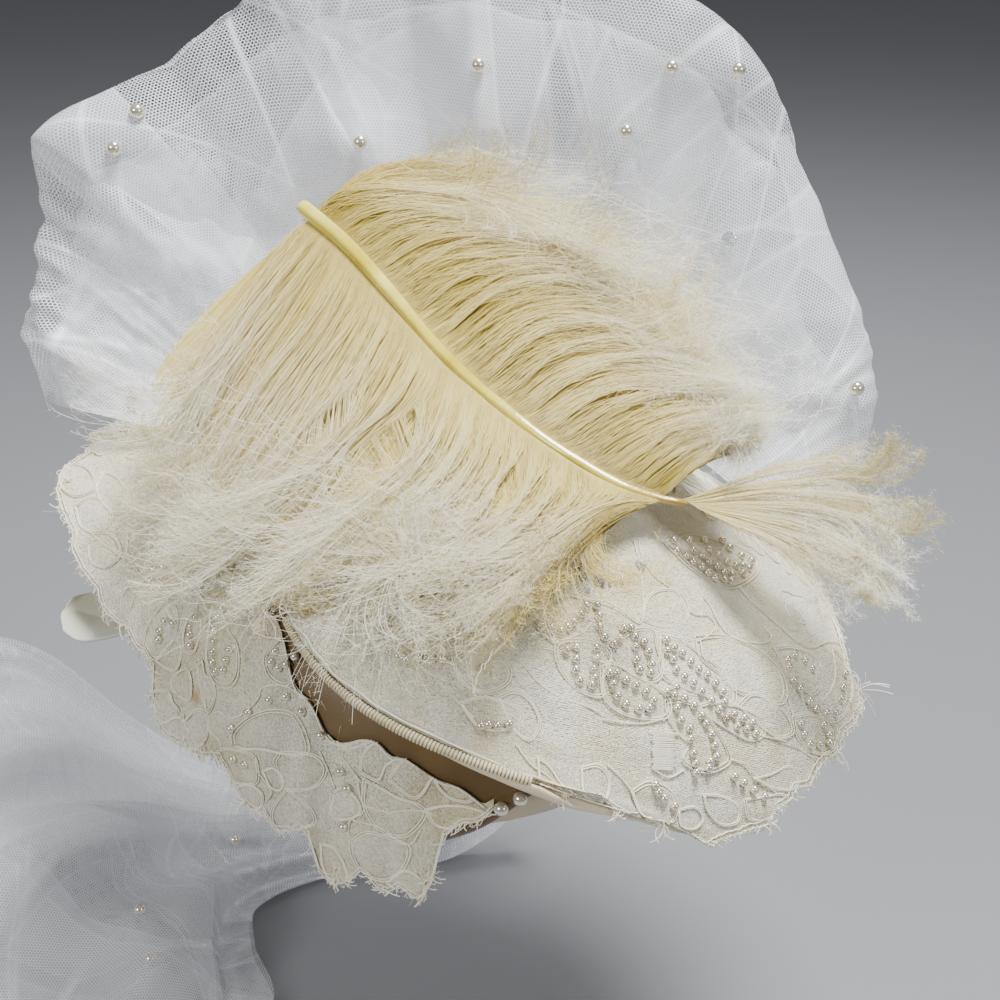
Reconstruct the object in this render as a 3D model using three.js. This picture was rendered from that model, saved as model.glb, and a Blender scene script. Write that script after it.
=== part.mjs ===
// Bridal hat: a satin crown with a wrap-over lace brim, an ostrich plume laid over the top,
// a tulle pouf behind it and a tulle veil that falls from the back.
// Millimetres, +Z up. The origin is the middle of the head opening, the front is -Y and
// +X is to the right of someone who faces the front.
import * as THREE from 'three';
import { mergeVertices } from 'three/addons/utils/BufferGeometryUtils.js';

// Driving dimensions of the crown, a dome over a head of 155 by 187 mm
const CROWN_HALF_WIDTH = 80;
const CROWN_HALF_DEPTH = 96;
const CROWN_HEIGHT = 90;
const CROWN_BASE = 6;
const CROWN_POWER = 2.5;
const CROWN_WALL = 2.4;

// Cloth thicknesses and the clearances between pieces
const SEAT_GAP = 0.5;
const BRIM_WALL = 2.4;
const LACE_GAP = 0.6;
const LACE_WALL = 1.0;
const TULLE_WALL = 1.3;
const PEARL_GAP = 0.7;

// Trim sizes
const GIMP_RADIUS = 1.3;
const GIMP_GAP = 0.8;
const QUILL_BUTT_RADIUS = 2.7;
const QUILL_TIP_RADIUS = 1.1;
const PEARL_RADIUS = 2.6;
const CRYSTAL_RADIUS = 2.4;

// The surface that the veil's end lies on, below the head opening
const FLOOR_HEIGHT = -200;

// Colours seen on the hat
const IVORY = 0xe6dcc4;
const LACE_CREAM = 0xe9dfca;
const PLUME_CREAM = 0xf0e8d2;
const QUILL_YELLOW = 0xe6d98a;
const TULLE_WHITE = 0xf2f3f5;
const PEARL_WHITE = 0xf3ead8;
const CRYSTAL_GREY = 0xd5d9dc;

const radians = (degrees) => degrees * Math.PI / 180;
const point = ([x, y, z]) => new THREE.Vector3(x, y, z);

// The brim is one long sheet that winds once round the crown and laps over itself in front.
// turn: degrees round the rim, 0 at the front, 90 at the left, 180 at the back, 270 at the right
// lag: degrees by which the seat on the crown runs ahead of the rim, which makes the slanted edge
// seat: height at which the sheet leaves the crown, lift: how far it stands off the crown there
// radius, height: the rim
const BRIM_ROWS = [
  { turn: -45, lag: 0, seat: 46, lift: 0, radius: 91, height: 34 },
  { turn: -18, lag: 0, seat: 48, lift: 0, radius: 101, height: 22 },
  { turn: -6, lag: 0, seat: 49, lift: 0, radius: 99.5, height: 8 },
  { turn: 8, lag: 0, seat: 52, lift: 0, radius: 98.5, height: 2 },
  { turn: 25, lag: 0, seat: 56, lift: 0, radius: 96.4, height: 2.1 },
  { turn: 40, lag: 0, seat: 58, lift: 0, radius: 93.3, height: 10.3 },
  { turn: 58, lag: 0, seat: 58, lift: 0, radius: 93.6, height: 25.3 },
  { turn: 80, lag: 0, seat: 58, lift: 0, radius: 103.6, height: 35.5 },
  { turn: 99, lag: 0, seat: 59, lift: 0, radius: 122.4, height: 49.3 },
  { turn: 117, lag: 0, seat: 60, lift: 0, radius: 130, height: 53 },
  { turn: 150, lag: 0, seat: 60, lift: 0, radius: 132, height: 46 },
  { turn: 190, lag: 0, seat: 58, lift: 0, radius: 130, height: 34 },
  { turn: 230, lag: 0, seat: 58, lift: 0, radius: 127, height: 22 },
  { turn: 262, lag: 0, seat: 60, lift: 0, radius: 124, height: 15.5 },
  { turn: 281, lag: 2, seat: 62, lift: 0, radius: 125.5, height: 9.5 },
  { turn: 297, lag: 8, seat: 64, lift: 1, radius: 125, height: 3 },
  { turn: 312, lag: 16, seat: 65, lift: 4, radius: 121, height: 1 },
  { turn: 324, lag: 24, seat: 64, lift: 5, radius: 119, height: 4 },
  { turn: 335, lag: 32, seat: 62, lift: 5, radius: 118.5, height: 16.5 },
  { turn: 342, lag: 37, seat: 60, lift: 5, radius: 119, height: 24 },
  { turn: 347, lag: 40, seat: 58, lift: 5, radius: 119, height: 32 },
];

// Reads one named column of a table at a key, on a smooth curve through its rows
function column(rows, keyName, key, name) {
  let i = 0;
  while (i < rows.length - 2 && key > rows[i + 1][keyName]) {
    i += 1;
  }
  const before = rows[Math.max(i - 1, 0)];
  const from = rows[i];
  const to = rows[i + 1];
  const after = rows[Math.min(i + 2, rows.length - 1)];
  const span = to[keyName] - from[keyName];
  const t = Math.min(Math.max((key - from[keyName]) / span, 0), 1);
  const slopeIn = (to[name] - before[name]) / (to[keyName] - before[keyName]) * span;
  const slopeOut = (after[name] - from[name]) / (after[keyName] - from[keyName]) * span;
  const t2 = t * t;
  const t3 = t2 * t;
  return (2 * t3 - 3 * t2 + 1) * from[name] + (t3 - 2 * t2 + t) * slopeIn
    + (3 * t2 - 2 * t3) * to[name] + (t3 - t2) * slopeOut;
}

// Width of the dome at a height, as a share of its width at the base
function domeShare(height) {
  const rise = Math.min(Math.max(height, 0) / CROWN_HEIGHT, 1);
  return Math.pow(1 - Math.pow(rise, CROWN_POWER), 1 / CROWN_POWER);
}

// Distance from the middle line to the crown's outside, at a turn and a height
function crownRadius(turn, height) {
  const side = Math.sin(turn) / CROWN_HALF_WIDTH;
  const front = Math.cos(turn) / CROWN_HALF_DEPTH;
  return domeShare(height) / Math.hypot(side, front);
}

// Pushes a point straight out from the origin until it clears the dome by a distance
function clearOfCrown(p, clearance) {
  const flat = Math.hypot(p.x / (CROWN_HALF_WIDTH + clearance), p.y / (CROWN_HALF_DEPTH + clearance));
  const high = Math.max(p.z, 0) / (CROWN_HEIGHT + clearance);
  const depth = Math.pow(Math.pow(flat, CROWN_POWER) + Math.pow(high, CROWN_POWER), 1 / CROWN_POWER);
  return depth < 1 ? p.clone().multiplyScalar(1 / depth) : p;
}

// The brim's lower face: across 0 is the seat on the crown, across 1 is the rim, and below 0
// the surface climbs the dome
function brimPoint(turn, across) {
  const read = (name) => column(BRIM_ROWS, 'turn', turn, name);
  const height = read('seat') + (read('height') - read('seat')) * across;
  const angle = radians(turn + read('lag') * (1 - across));
  const rim = crownRadius(radians(turn), read('height')) + SEAT_GAP + read('lift');
  const flare = Math.max(read('radius') - rim, 1);
  const reach = crownRadius(angle, height) + SEAT_GAP + read('lift') + flare * Math.max(across, 0);
  return new THREE.Vector3(-reach * Math.sin(angle), -reach * Math.cos(angle), height);
}

// Length of the brim from seat to rim at a turn
function brimSlope(turn) {
  return brimPoint(turn, 0).distanceTo(brimPoint(turn, 1));
}

// Unit vector square to a surface at u, v
function normalOf(surface, u, v) {
  const step = 0.004;
  const alongU = surface(Math.min(u + step, 1), v).clone().sub(surface(Math.max(u - step, 0), v));
  const alongV = surface(u, Math.min(v + step, 1)).clone().sub(surface(u, Math.max(v - step, 0)));
  return alongU.cross(alongV).normalize();
}

// Closed sheet between two faces that lie off a surface by the inner and outer distances.
// The surface and the outer distance are functions of u and v, both from 0 to 1.
function sheetSolid(surface, uSteps, vSteps, inner, outer) {
  const positions = [];
  const index = [];
  for (const distance of [inner, outer]) {
    for (let i = 0; i <= uSteps; i++) {
      for (let j = 0; j <= vSteps; j++) {
        const u = i / uSteps;
        const v = j / vSteps;
        const off = typeof distance === 'function' ? distance(u, v) : distance;
        const p = surface(u, v).clone().addScaledVector(normalOf(surface, u, v), off);
        positions.push(p.x, p.y, p.z);
      }
    }
  }
  const count = (uSteps + 1) * (vSteps + 1);
  const at = (i, j, layer) => layer * count + i * (vSteps + 1) + j;
  const quad = (a, b, c, d) => index.push(a, b, c, a, c, d);
  for (let i = 0; i < uSteps; i++) {
    for (let j = 0; j < vSteps; j++) {
      quad(at(i, j, 1), at(i + 1, j, 1), at(i + 1, j + 1, 1), at(i, j + 1, 1));
      quad(at(i, j, 0), at(i, j + 1, 0), at(i + 1, j + 1, 0), at(i + 1, j, 0));
    }
    quad(at(i, 0, 0), at(i + 1, 0, 0), at(i + 1, 0, 1), at(i, 0, 1));
    quad(at(i + 1, vSteps, 0), at(i, vSteps, 0), at(i, vSteps, 1), at(i + 1, vSteps, 1));
  }
  for (let j = 0; j < vSteps; j++) {
    quad(at(0, j + 1, 0), at(0, j, 0), at(0, j, 1), at(0, j + 1, 1));
    quad(at(uSteps, j, 0), at(uSteps, j + 1, 0), at(uSteps, j + 1, 1), at(uSteps, j, 1));
  }
  const geometry = new THREE.BufferGeometry();
  geometry.setAttribute('position', new THREE.Float32BufferAttribute(positions, 3));
  geometry.setIndex(index);
  return geometry;
}

// Smooth surface through rows of points: u runs down the rows, v along the points of a row
function loft(rows, names) {
  const rails = names.map((name) => new THREE.CatmullRomCurve3(rows.map((row) => point(row[name]))));
  return (u, v) => {
    const across = new THREE.CatmullRomCurve3(rails.map((rail) => rail.getPoint(u)));
    return across.getPoint(v);
  };
}

// Round bar along a curve whose radius falls evenly from one end to the other
function taperedBar(curve, steps, sides, startRadius, endRadius) {
  const frames = curve.computeFrenetFrames(steps, false);
  const positions = [];
  const index = [];
  for (let i = 0; i <= steps; i++) {
    const radius = startRadius + (endRadius - startRadius) * i / steps;
    const middle = curve.getPointAt(i / steps);
    for (let j = 0; j < sides; j++) {
      const angle = 2 * Math.PI * j / sides;
      const p = middle.clone()
        .addScaledVector(frames.normals[i], radius * Math.cos(angle))
        .addScaledVector(frames.binormals[i], radius * Math.sin(angle));
      positions.push(p.x, p.y, p.z);
    }
  }
  for (let i = 0; i < steps; i++) {
    for (let j = 0; j < sides; j++) {
      const next = (j + 1) % sides;
      const a = i * sides + j;
      const b = i * sides + next;
      index.push(a, b, b + sides, a, b + sides, a + sides);
    }
  }
  for (let j = 1; j < sides - 1; j++) {
    index.push(0, j + 1, j);
    index.push(steps * sides, steps * sides + j, steps * sides + j + 1);
  }
  const geometry = new THREE.BufferGeometry();
  geometry.setAttribute('position', new THREE.Float32BufferAttribute(positions, 3));
  geometry.setIndex(index);
  return geometry;
}

const group = new THREE.Group();

// Adds a named piece, turned right side out if its volume comes out negative
function addPiece(name, geometry, color, roughness, metalness = 0) {
  const p = geometry.getAttribute('position');
  const order = geometry.index.array;
  const corners = [new THREE.Vector3(), new THREE.Vector3(), new THREE.Vector3()];
  let volume = 0;
  for (let i = 0; i < order.length; i += 3) {
    corners.forEach((corner, k) => corner.fromBufferAttribute(p, order[i + k]));
    volume += corners[0].dot(corners[1].clone().cross(corners[2]));
  }
  if (volume < 0) {
    for (let i = 0; i < order.length; i += 3) {
      [order[i + 1], order[i + 2]] = [order[i + 2], order[i + 1]];
    }
  }
  const material = new THREE.MeshStandardMaterial({ color, roughness, metalness, side: THREE.DoubleSide });
  const mesh = new THREE.Mesh(geometry, material);
  mesh.name = name;
  group.add(mesh);
  return mesh;
}

// Crown: satin over a stiff dome, open below, made by turning its section and stretching it
const CROWN_SIDES = 32;
const CROWN_RINGS = 6;

function domeProfile(width, height, base) {
  const low = Math.asin(Math.pow(base / height, CROWN_POWER / 2));
  const profile = [];
  for (let i = 0; i <= CROWN_RINGS; i++) {
    const angle = low + (Math.PI / 2 - low) * i / CROWN_RINGS;
    const across = i === CROWN_RINGS ? 0 : width * Math.pow(Math.cos(angle), 2 / CROWN_POWER);
    profile.push(new THREE.Vector2(across, height * Math.pow(Math.sin(angle), 2 / CROWN_POWER)));
  }
  return profile;
}

function crownShell() {
  const outside = domeProfile(CROWN_HALF_WIDTH, CROWN_HEIGHT, CROWN_BASE);
  const inside = domeProfile(CROWN_HALF_WIDTH - CROWN_WALL, CROWN_HEIGHT - CROWN_WALL, CROWN_BASE);
  const shell = new THREE.LatheGeometry([...inside.reverse(), ...outside], CROWN_SIDES);
  shell.deleteAttribute('normal');
  shell.deleteAttribute('uv');
  shell.rotateX(Math.PI / 2);
  shell.scale(1, CROWN_HALF_DEPTH / CROWN_HALF_WIDTH, 1);
  return mergeVertices(shell, 0.001);
}

addPiece('crown', crownShell(), IVORY, 0.5);

// Brim: satin over a stiff base, from its hidden inner end round to the free slanted edge
const BRIM_START = BRIM_ROWS[0].turn;
const BRIM_END = BRIM_ROWS[BRIM_ROWS.length - 1].turn;
const brimSurface = (u, v) => brimPoint(BRIM_START + (BRIM_END - BRIM_START) * u, v);
addPiece('brim', sheetSolid(brimSurface, 60, 4, 0, BRIM_WALL), IVORY, 0.5);

// Ribbed gimp that binds the free slanted edge of the brim
function edgeCurve() {
  const points = [];
  const rows = 9;
  for (let i = 0; i < rows; i++) {
    const across = 0.02 + 0.95 * i / (rows - 1);
    const edge = brimPoint(BRIM_END, across);
    const down = brimPoint(BRIM_END, across + 0.01).sub(edge).normalize();
    const outward = normalOf(brimSurface, 1, across);
    const away = down.cross(outward);
    points.push(edge.addScaledVector(outward, BRIM_WALL / 2).addScaledVector(away, GIMP_RADIUS + GIMP_GAP));
  }
  return new THREE.CatmullRomCurve3(points);
}

addPiece('brim_edge_gimp', taperedBar(edgeCurve(), 20, 8, GIMP_RADIUS, GIMP_RADIUS), LACE_CREAM, 0.7);

// Lace: a sheet over each lobe with a scalloped rim.
// turn: degrees round the rim, top: share of the slope where the lace begins,
// drop: millimetres by which it hangs past the rim before the scallops
const LACE_UNDER_ROWS = [
  { turn: -9, top: 0.82, drop: 0 },
  { turn: -1, top: 0.5, drop: 5 },
  { turn: 4, top: 0.4, drop: 15 },
  { turn: 10, top: 0.25, drop: 14 },
  { turn: 17, top: 0.22, drop: 12 },
  { turn: 21, top: 0.15, drop: 2 },
  { turn: 26, top: 0.04, drop: 2 },
  { turn: 45, top: 0.03, drop: 3 },
  { turn: 100, top: 0.03, drop: 3 },
  { turn: 138, top: 0.03, drop: 2 },
];
const LACE_OVER_ROWS = [
  { turn: 236, top: 0.05, drop: 1 },
  { turn: 275, top: 0.03, drop: 1 },
  { turn: 292, top: -0.1, drop: 1 },
  { turn: 325, top: -0.06, drop: 1 },
  { turn: 345, top: 0.04, drop: 2 },
];
const SCALLOP_DEPTH = 4;

function laceSheet(rows, scallops, uSteps) {
  const from = rows[0].turn;
  const to = rows[rows.length - 1].turn;
  const surface = (u, v) => {
    const turn = from + (to - from) * u;
    const top = column(rows, 'turn', turn, 'top');
    const scallop = SCALLOP_DEPTH * Math.abs(Math.sin(Math.PI * scallops * u));
    const past = (column(rows, 'turn', turn, 'drop') + scallop) / brimSlope(turn);
    return brimPoint(turn, top + (1 + past - top) * v);
  };
  const lower = BRIM_WALL + LACE_GAP;
  return sheetSolid(surface, uSteps, 4, lower, lower + LACE_WALL);
}

addPiece('lace_under', laceSheet(LACE_UNDER_ROWS, 9, 45), LACE_CREAM, 0.75);
addPiece('lace_over', laceSheet(LACE_OVER_ROWS, 9, 45), LACE_CREAM, 0.75);

// Satin petal whose tip looks out from under the brim at the left
const PETAL_ROWS = [
  { left: [-88, -18, 24], middle: [-92, -12, 24], right: [-92, -4, 25] },
  { left: [-100, -24, 22], middle: [-103, -14, 24], right: [-102, -3, 26] },
  { left: [-111, -25, 21], middle: [-114, -15, 25], right: [-112, -6, 27] },
  { left: [-116, -21, 22], middle: [-119, -15, 25], right: [-117, -10, 27] },
];
const PETAL_WALL = 1.2;
const petalFace = loft(PETAL_ROWS, ['left', 'middle', 'right']);
addPiece('satin_petal', sheetSolid(petalFace, 6, 6, 0, PETAL_WALL), TULLE_WHITE, 0.35);

// Plume: a long quill that arches over the dome, with a vane of barbs on each side.
// Each row gives the root on the quill, the middle and the tip of the barbs there.
const QUILL_POINTS = [
  [-48.3, 62, 134.4], [-32.3, 45, 126.3], [-17, 25, 116.2], [-4.1, 8, 106.4], [8.2, -8, 99.5],
  [17, -18, 95.6], [28.3, -28, 90], [39.4, -35, 85], [50.4, -40, 80.4], [61.6, -42, 77], [70, -42.5, 75.7],
];
const quillCurve = new THREE.CatmullRomCurve3(QUILL_POINTS.map(point));
addPiece('quill', taperedBar(quillCurve, 21, 8, QUILL_BUTT_RADIUS, QUILL_TIP_RADIUS), QUILL_YELLOW, 0.3);

const NEAR_ROWS = [
  { along: 0.03, middle: [-81.7, 35, 103.9], tip: [-100.8, 10, 79.7] },
  { along: 0.17, middle: [-66, 15, 98], tip: [-95, -12, 69] },
  { along: 0.34, middle: [-51, -8, 92.5], tip: [-84, -33, 60] },
  { along: 0.48, middle: [-29, -40, 86], tip: [-62, -68, 55] },
  { along: 0.6, middle: [-7, -60, 84], tip: [-28, -93, 61] },
  { along: 0.73, middle: [12, -74, 77], tip: [0, -105, 63] },
  { along: 0.85, middle: [30, -75, 74], tip: [22, -110, 66] },
  { along: 0.96, middle: [48.6, -65, 78.6], tip: [36, -101, 74] },
];
const FAR_ROWS = [
  { along: 0.03, middle: [-22.7, 72, 146.3], tip: [23.7, 78, 148.6] },
  { along: 0.2, middle: [2, 66, 135], tip: [63.3, 70, 137.5] },
  { along: 0.38, middle: [25, 48, 123.5], tip: [94.9, 50, 116] },
  { along: 0.55, middle: [42, 30, 113], tip: [113, 35, 100.6] },
  { along: 0.7, middle: [59.2, 5, 99], tip: [122, 15, 94.3] },
  { along: 0.84, middle: [71.8, -18, 89.5], tip: [115.6, -5, 85.7] },
  { along: 0.95, middle: [78, -32, 83.5], tip: [96, -22, 85.5] },
];
const TIP_ROWS = [
  { along: 0.975, middle: [100, -24, 79], tip: [130, -12, 83] },
  { along: 0.985, middle: [112, -31, 71], tip: [153, -29, 58] },
  { along: 0.995, middle: [108, -43, 62], tip: [136, -45, 45] },
  { along: 1, middle: [94, -50, 62], tip: [118, -52, 49] },
];

// A vane is a backing with rounded locks on it; each lock ends in a tip of its own length.
// ROOT_GAP keeps it off the quill and the dome gains clearance towards the tips.
const ROOT_GAP = 3.3;
const LOCK_REACH = 0.13;
const STEPS_PER_LOCK = 3;

function vaneSolid(rows, locks, stepsPerLock, thickness) {
  const rooted = rows.map((row) => {
    const onQuill = quillCurve.getPointAt(row.along);
    const away = point(row.middle).sub(onQuill).normalize();
    return { ...row, root: onQuill.addScaledVector(away, ROOT_GAP).toArray() };
  });
  const face = loft(rooted, ['root', 'middle', 'tip']);
  const lock = (u) => Math.abs(Math.sin(Math.PI * locks * u));
  const surface = (u, v) => {
    const reach = 1 - LOCK_REACH * (1 - lock(u));
    return clearOfCrown(face(u, v * reach), 1.6 + 6 * v);
  };
  const height = (u, v) => 1 + thickness * Math.sin(Math.PI * (0.12 + 0.82 * v)) * (0.55 + 0.45 * lock(u));
  return [surface, locks * stepsPerLock, 5, height];
}

// 1 where a sheet's thickness must grow along its normal to face away from the head, else -1
function outwardSide(surface) {
  const middle = surface(0.5, 0.5);
  const alongU = surface(0.51, 0.5).clone().sub(middle);
  const alongV = surface(0.5, 0.51).clone().sub(middle);
  return Math.sign(alongU.cross(alongV).dot(middle));
}

function addVane(name, rows, locks, thickness) {
  const [surface, uSteps, vSteps, height] = vaneSolid(rows, locks, STEPS_PER_LOCK, thickness);
  const side = outwardSide(surface);
  addPiece(name, sheetSolid(surface, uSteps, vSteps, 0, (u, v) => side * height(u, v)), PLUME_CREAM, 0.9);
}

addVane('plume_vane_near', NEAR_ROWS, 10, 7);
addVane('plume_vane_far', FAR_ROWS, 9, 7);
addVane('plume_tip', TIP_ROWS, 4, 4);

// Point that rests on the laced brim at a turn and a distance from the middle line
function onBrim(turn, reach, gap) {
  let low = 0;
  let high = 1;
  for (let i = 0; i < 20; i++) {
    const middle = (low + high) / 2;
    const p = brimPoint(turn, middle);
    if (Math.hypot(p.x, p.y) < reach) {
      low = middle;
    } else {
      high = middle;
    }
  }
  const upward = normalOf((u, v) => brimPoint(turn - 1 + 2 * u, v), 0.5, low);
  const height = BRIM_WALL + LACE_GAP + LACE_WALL + gap;
  return brimPoint(turn, low).addScaledVector(upward, height);
}

// Tulle pouf: gathered round the back of the crown, it stands up as a fan, rolls over at the
// top and comes down behind to a second gather.
// turn: place of the gather on the brim, top: the outline that shows above the hat
const POUF_ROWS = [
  { turn: 113, top: [-140, 60, 68] },
  { turn: 123, top: [-147, 74, 94] },
  { turn: 132, top: [-141, 84, 128] },
  { turn: 141, top: [-124, 95, 160] },
  { turn: 151, top: [-88, 112, 189] },
  { turn: 165, top: [-42, 120, 206] },
  { turn: 180, top: [4, 122, 212] },
  { turn: 195, top: [48, 121, 206] },
  { turn: 209, top: [88, 118, 190] },
  { turn: 219, top: [114, 104, 165] },
  { turn: 228, top: [128, 90, 136] },
  { turn: 238, top: [138, 74, 100] },
  { turn: 247, top: [144, 58, 74] },
  { turn: 255, top: [137, 36, 34] },
];
const POUF_FRONT_BELLY = [0, -10, 4];
const POUF_BACK_BELLY = [0, 44, 0];
const POUF_SEAM_REACH = 95;
const POUF_SEAM_DEPTH = 15;
const SEAM_CLEARANCE = 3;
const POUF_PLEATS = 11;
const POUF_PLEAT_DEPTH = 3.4;

// A surface with pleats that run across it and die away at its two gathers
function pleated(face, pleats, depth) {
  return (u, v) => {
    const fade = Math.pow(Math.sin(Math.PI * Math.min(Math.max(v, 0), 1)), 0.7);
    const fold = depth * fade * Math.sin(2 * Math.PI * pleats * u);
    return face(u, v).addScaledVector(normalOf(face, u, v), fold);
  };
}

function poufFace() {
  const rows = POUF_ROWS.map(({ turn, top }) => {
    const front = onBrim(turn, POUF_SEAM_REACH, SEAM_CLEARANCE);
    const back = onBrim(turn, POUF_SEAM_REACH + POUF_SEAM_DEPTH, SEAM_CLEARANCE);
    const peak = point(top);
    const frontBelly = front.clone().lerp(peak, 0.5).add(point(POUF_FRONT_BELLY));
    const backBelly = back.clone().lerp(peak, 0.52).add(point(POUF_BACK_BELLY));
    return {
      front: front.toArray(), frontBelly: frontBelly.toArray(), peak: top,
      backBelly: backBelly.toArray(), back: back.toArray(),
    };
  });
  return loft(rows, ['front', 'frontBelly', 'peak', 'backBelly', 'back']);
}

const poufSurface = pleated(poufFace(), POUF_PLEATS, POUF_PLEAT_DEPTH);
addPiece('tulle_pouf', sheetSolid(poufSurface, 44, 7, 0, TULLE_WALL), TULLE_WHITE, 0.6);

// Tulle puff: a lower roll of the same net over the back of the dome, which the plume lies on
const PUFF_ROWS = [
  { front: [-74, 16, 67], top: [-86, 30, 82], back: [-79, 38, 70] },
  { front: [-58, 16, 75], top: [-64, 38, 98], back: [-64, 60, 72] },
  { front: [-30, 18, 88], top: [-31, 50, 110], back: [-33, 76, 68] },
  { front: [4, 18, 92], top: [4, 55, 117], back: [2, 83, 67] },
  { front: [36, 18, 87], top: [37, 50, 105], back: [36, 75, 66] },
  { front: [61, 13, 74], top: [70, 36, 91], back: [65, 57, 69] },
  { front: [75, 6, 67], top: [88, 22, 78], back: [81, 34, 68] },
];
const PUFF_PLEATS = 8;
const PUFF_PLEAT_DEPTH = 2.2;
const puffSurface = pleated(loft(PUFF_ROWS, ['front', 'top', 'back']), PUFF_PLEATS, PUFF_PLEAT_DEPTH);
addPiece('tulle_puff', sheetSolid(puffSurface, 32, 4, 0, TULLE_WALL), TULLE_WHITE, 0.6);

// Veil: gathered at the back under the pouf, it falls over the brim, comes down behind the
// head and sweeps to the left in a standing billow. It ends in a cut edge.
const VEIL_ROWS = [
  { left: [-36, 116, 56], middle: [0, 123, 54], right: [35, 116, 51] },
  { left: [-44, 134, 54], middle: [0, 144, 49], right: [42, 134, 46] },
  { left: [-53, 146, 32], middle: [-1, 156, 26], right: [47, 146, 24] },
  { left: [-62, 150, -22], middle: [-5, 157, -24], right: [50, 148, -26] },
  { left: [-74, 156, -78], middle: [-14, 157, -86], right: [50, 148, -90] },
  { left: [-84, 160, -132], middle: [-28, 156, -144], right: [38, 146, -152] },
  { left: [-106, 166, -170], middle: [-60, 148, -180], right: [-4, 138, -192] },
  { left: [-138, 166, -158], middle: [-100, 136, -172], right: [-62, 126, -194] },
  { left: [-166, 156, -124], middle: [-130, 118, -156], right: [-92, 106, -195] },
  { left: [-198, 140, -78], middle: [-156, 96, -132], right: [-90, 78, -195] },
  { left: [-228, 108, -70], middle: [-184, 60, -126], right: [-76, 42, -195] },
  { left: [-254, 66, -104], middle: [-206, 20, -152], right: [-96, -4, -195] },
  { left: [-268, 26, -196], middle: [-216, -24, -196], right: [-140, -50, -197] },
];
const VEIL_FOLDS = 4;
const VEIL_FOLD_DEPTH = 6;

const veilFace = loft(VEIL_ROWS, ['left', 'middle', 'right']);

function veilSurface(u, v) {
  const depth = VEIL_FOLD_DEPTH * Math.min(1, 0.35 + 3 * u);
  const fold = depth * Math.sin(2 * Math.PI * VEIL_FOLDS * v);
  const here = veilFace(u, v).addScaledVector(normalOf(veilFace, u, v), fold);
  here.z = Math.max(here.z, FLOOR_HEIGHT + 2);
  return here;
}

addPiece('veil', sheetSolid(veilSurface, 28, 12, 0, TULLE_WALL), TULLE_WHITE, 0.6);

// Pearls and one crystal sewn to the tulle. along and across: the place on the sheet, 0 to 1
const POUF_PEARLS = [
  { along: 0.39, across: 0.28 },
  { along: 0.475, across: 0.34 },
  { along: 0.58, across: 0.31 },
  { along: 0.23, across: 0.39 },
  { along: 0.26, across: 0.4 },
  { along: 0.6, across: 0.38 },
  { along: 0.655, across: 0.42 },
  { along: 0.92, across: 0.38 },
  { along: 0.2, across: 0.72 },
  { along: 0.42, across: 0.78 },
  { along: 0.6, across: 0.68 },
  { along: 0.82, across: 0.76 },
];
const CRYSTAL_SEAT = { along: 0.715, across: 0.29 };
const VEIL_PEARLS = [
  { along: 0.81, across: 0.75 },
  { along: 0.85, across: 0.8 },
  { along: 0.77, across: 0.9 },
  { along: 0.25, across: 0.18 },
  { along: 0.4, across: 0.7 },
  { along: 0.62, across: 0.6 },
];
const VIEWER = new THREE.Vector3(0, -0.9, 0.42);

// Middle of a bead that rests on a sheet, on the side of a given direction
function beadSeat(surface, { along, across }, radius, towards) {
  const normal = normalOf(surface, along, across);
  const out = normal.dot(towards) > 0 ? TULLE_WALL + radius + PEARL_GAP : -(radius + PEARL_GAP);
  return surface(along, across).addScaledVector(normal, out);
}

function addBead(name, geometry, seat, color, roughness) {
  geometry.deleteAttribute('normal');
  geometry.deleteAttribute('uv');
  addPiece(name, mergeVertices(geometry, 0.001), color, roughness).position.copy(seat);
}

const pearl = () => new THREE.SphereGeometry(PEARL_RADIUS, 10, 6);
const BEHIND = new THREE.Vector3(0, 1, 0);
POUF_PEARLS.forEach((place, i) => {
  const towards = place.across < 0.5 ? VIEWER : BEHIND;
  const seat = beadSeat(poufSurface, place, PEARL_RADIUS, towards);
  addBead(`pouf_pearl_${i + 1}`, pearl(), seat, PEARL_WHITE, 0.2);
});
VEIL_PEARLS.forEach((place, i) => {
  const towards = place.along < 0.6 ? BEHIND : VIEWER;
  const seat = beadSeat(veilSurface, place, PEARL_RADIUS, towards);
  addBead(`veil_pearl_${i + 1}`, pearl(), seat, PEARL_WHITE, 0.2);
});
const crystalSeat = beadSeat(poufSurface, CRYSTAL_SEAT, CRYSTAL_RADIUS, VIEWER);
addBead('pouf_crystal', new THREE.IcosahedronGeometry(CRYSTAL_RADIUS, 1), crystalSeat, CRYSTAL_GREY, 0.1);

export default group;
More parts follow.
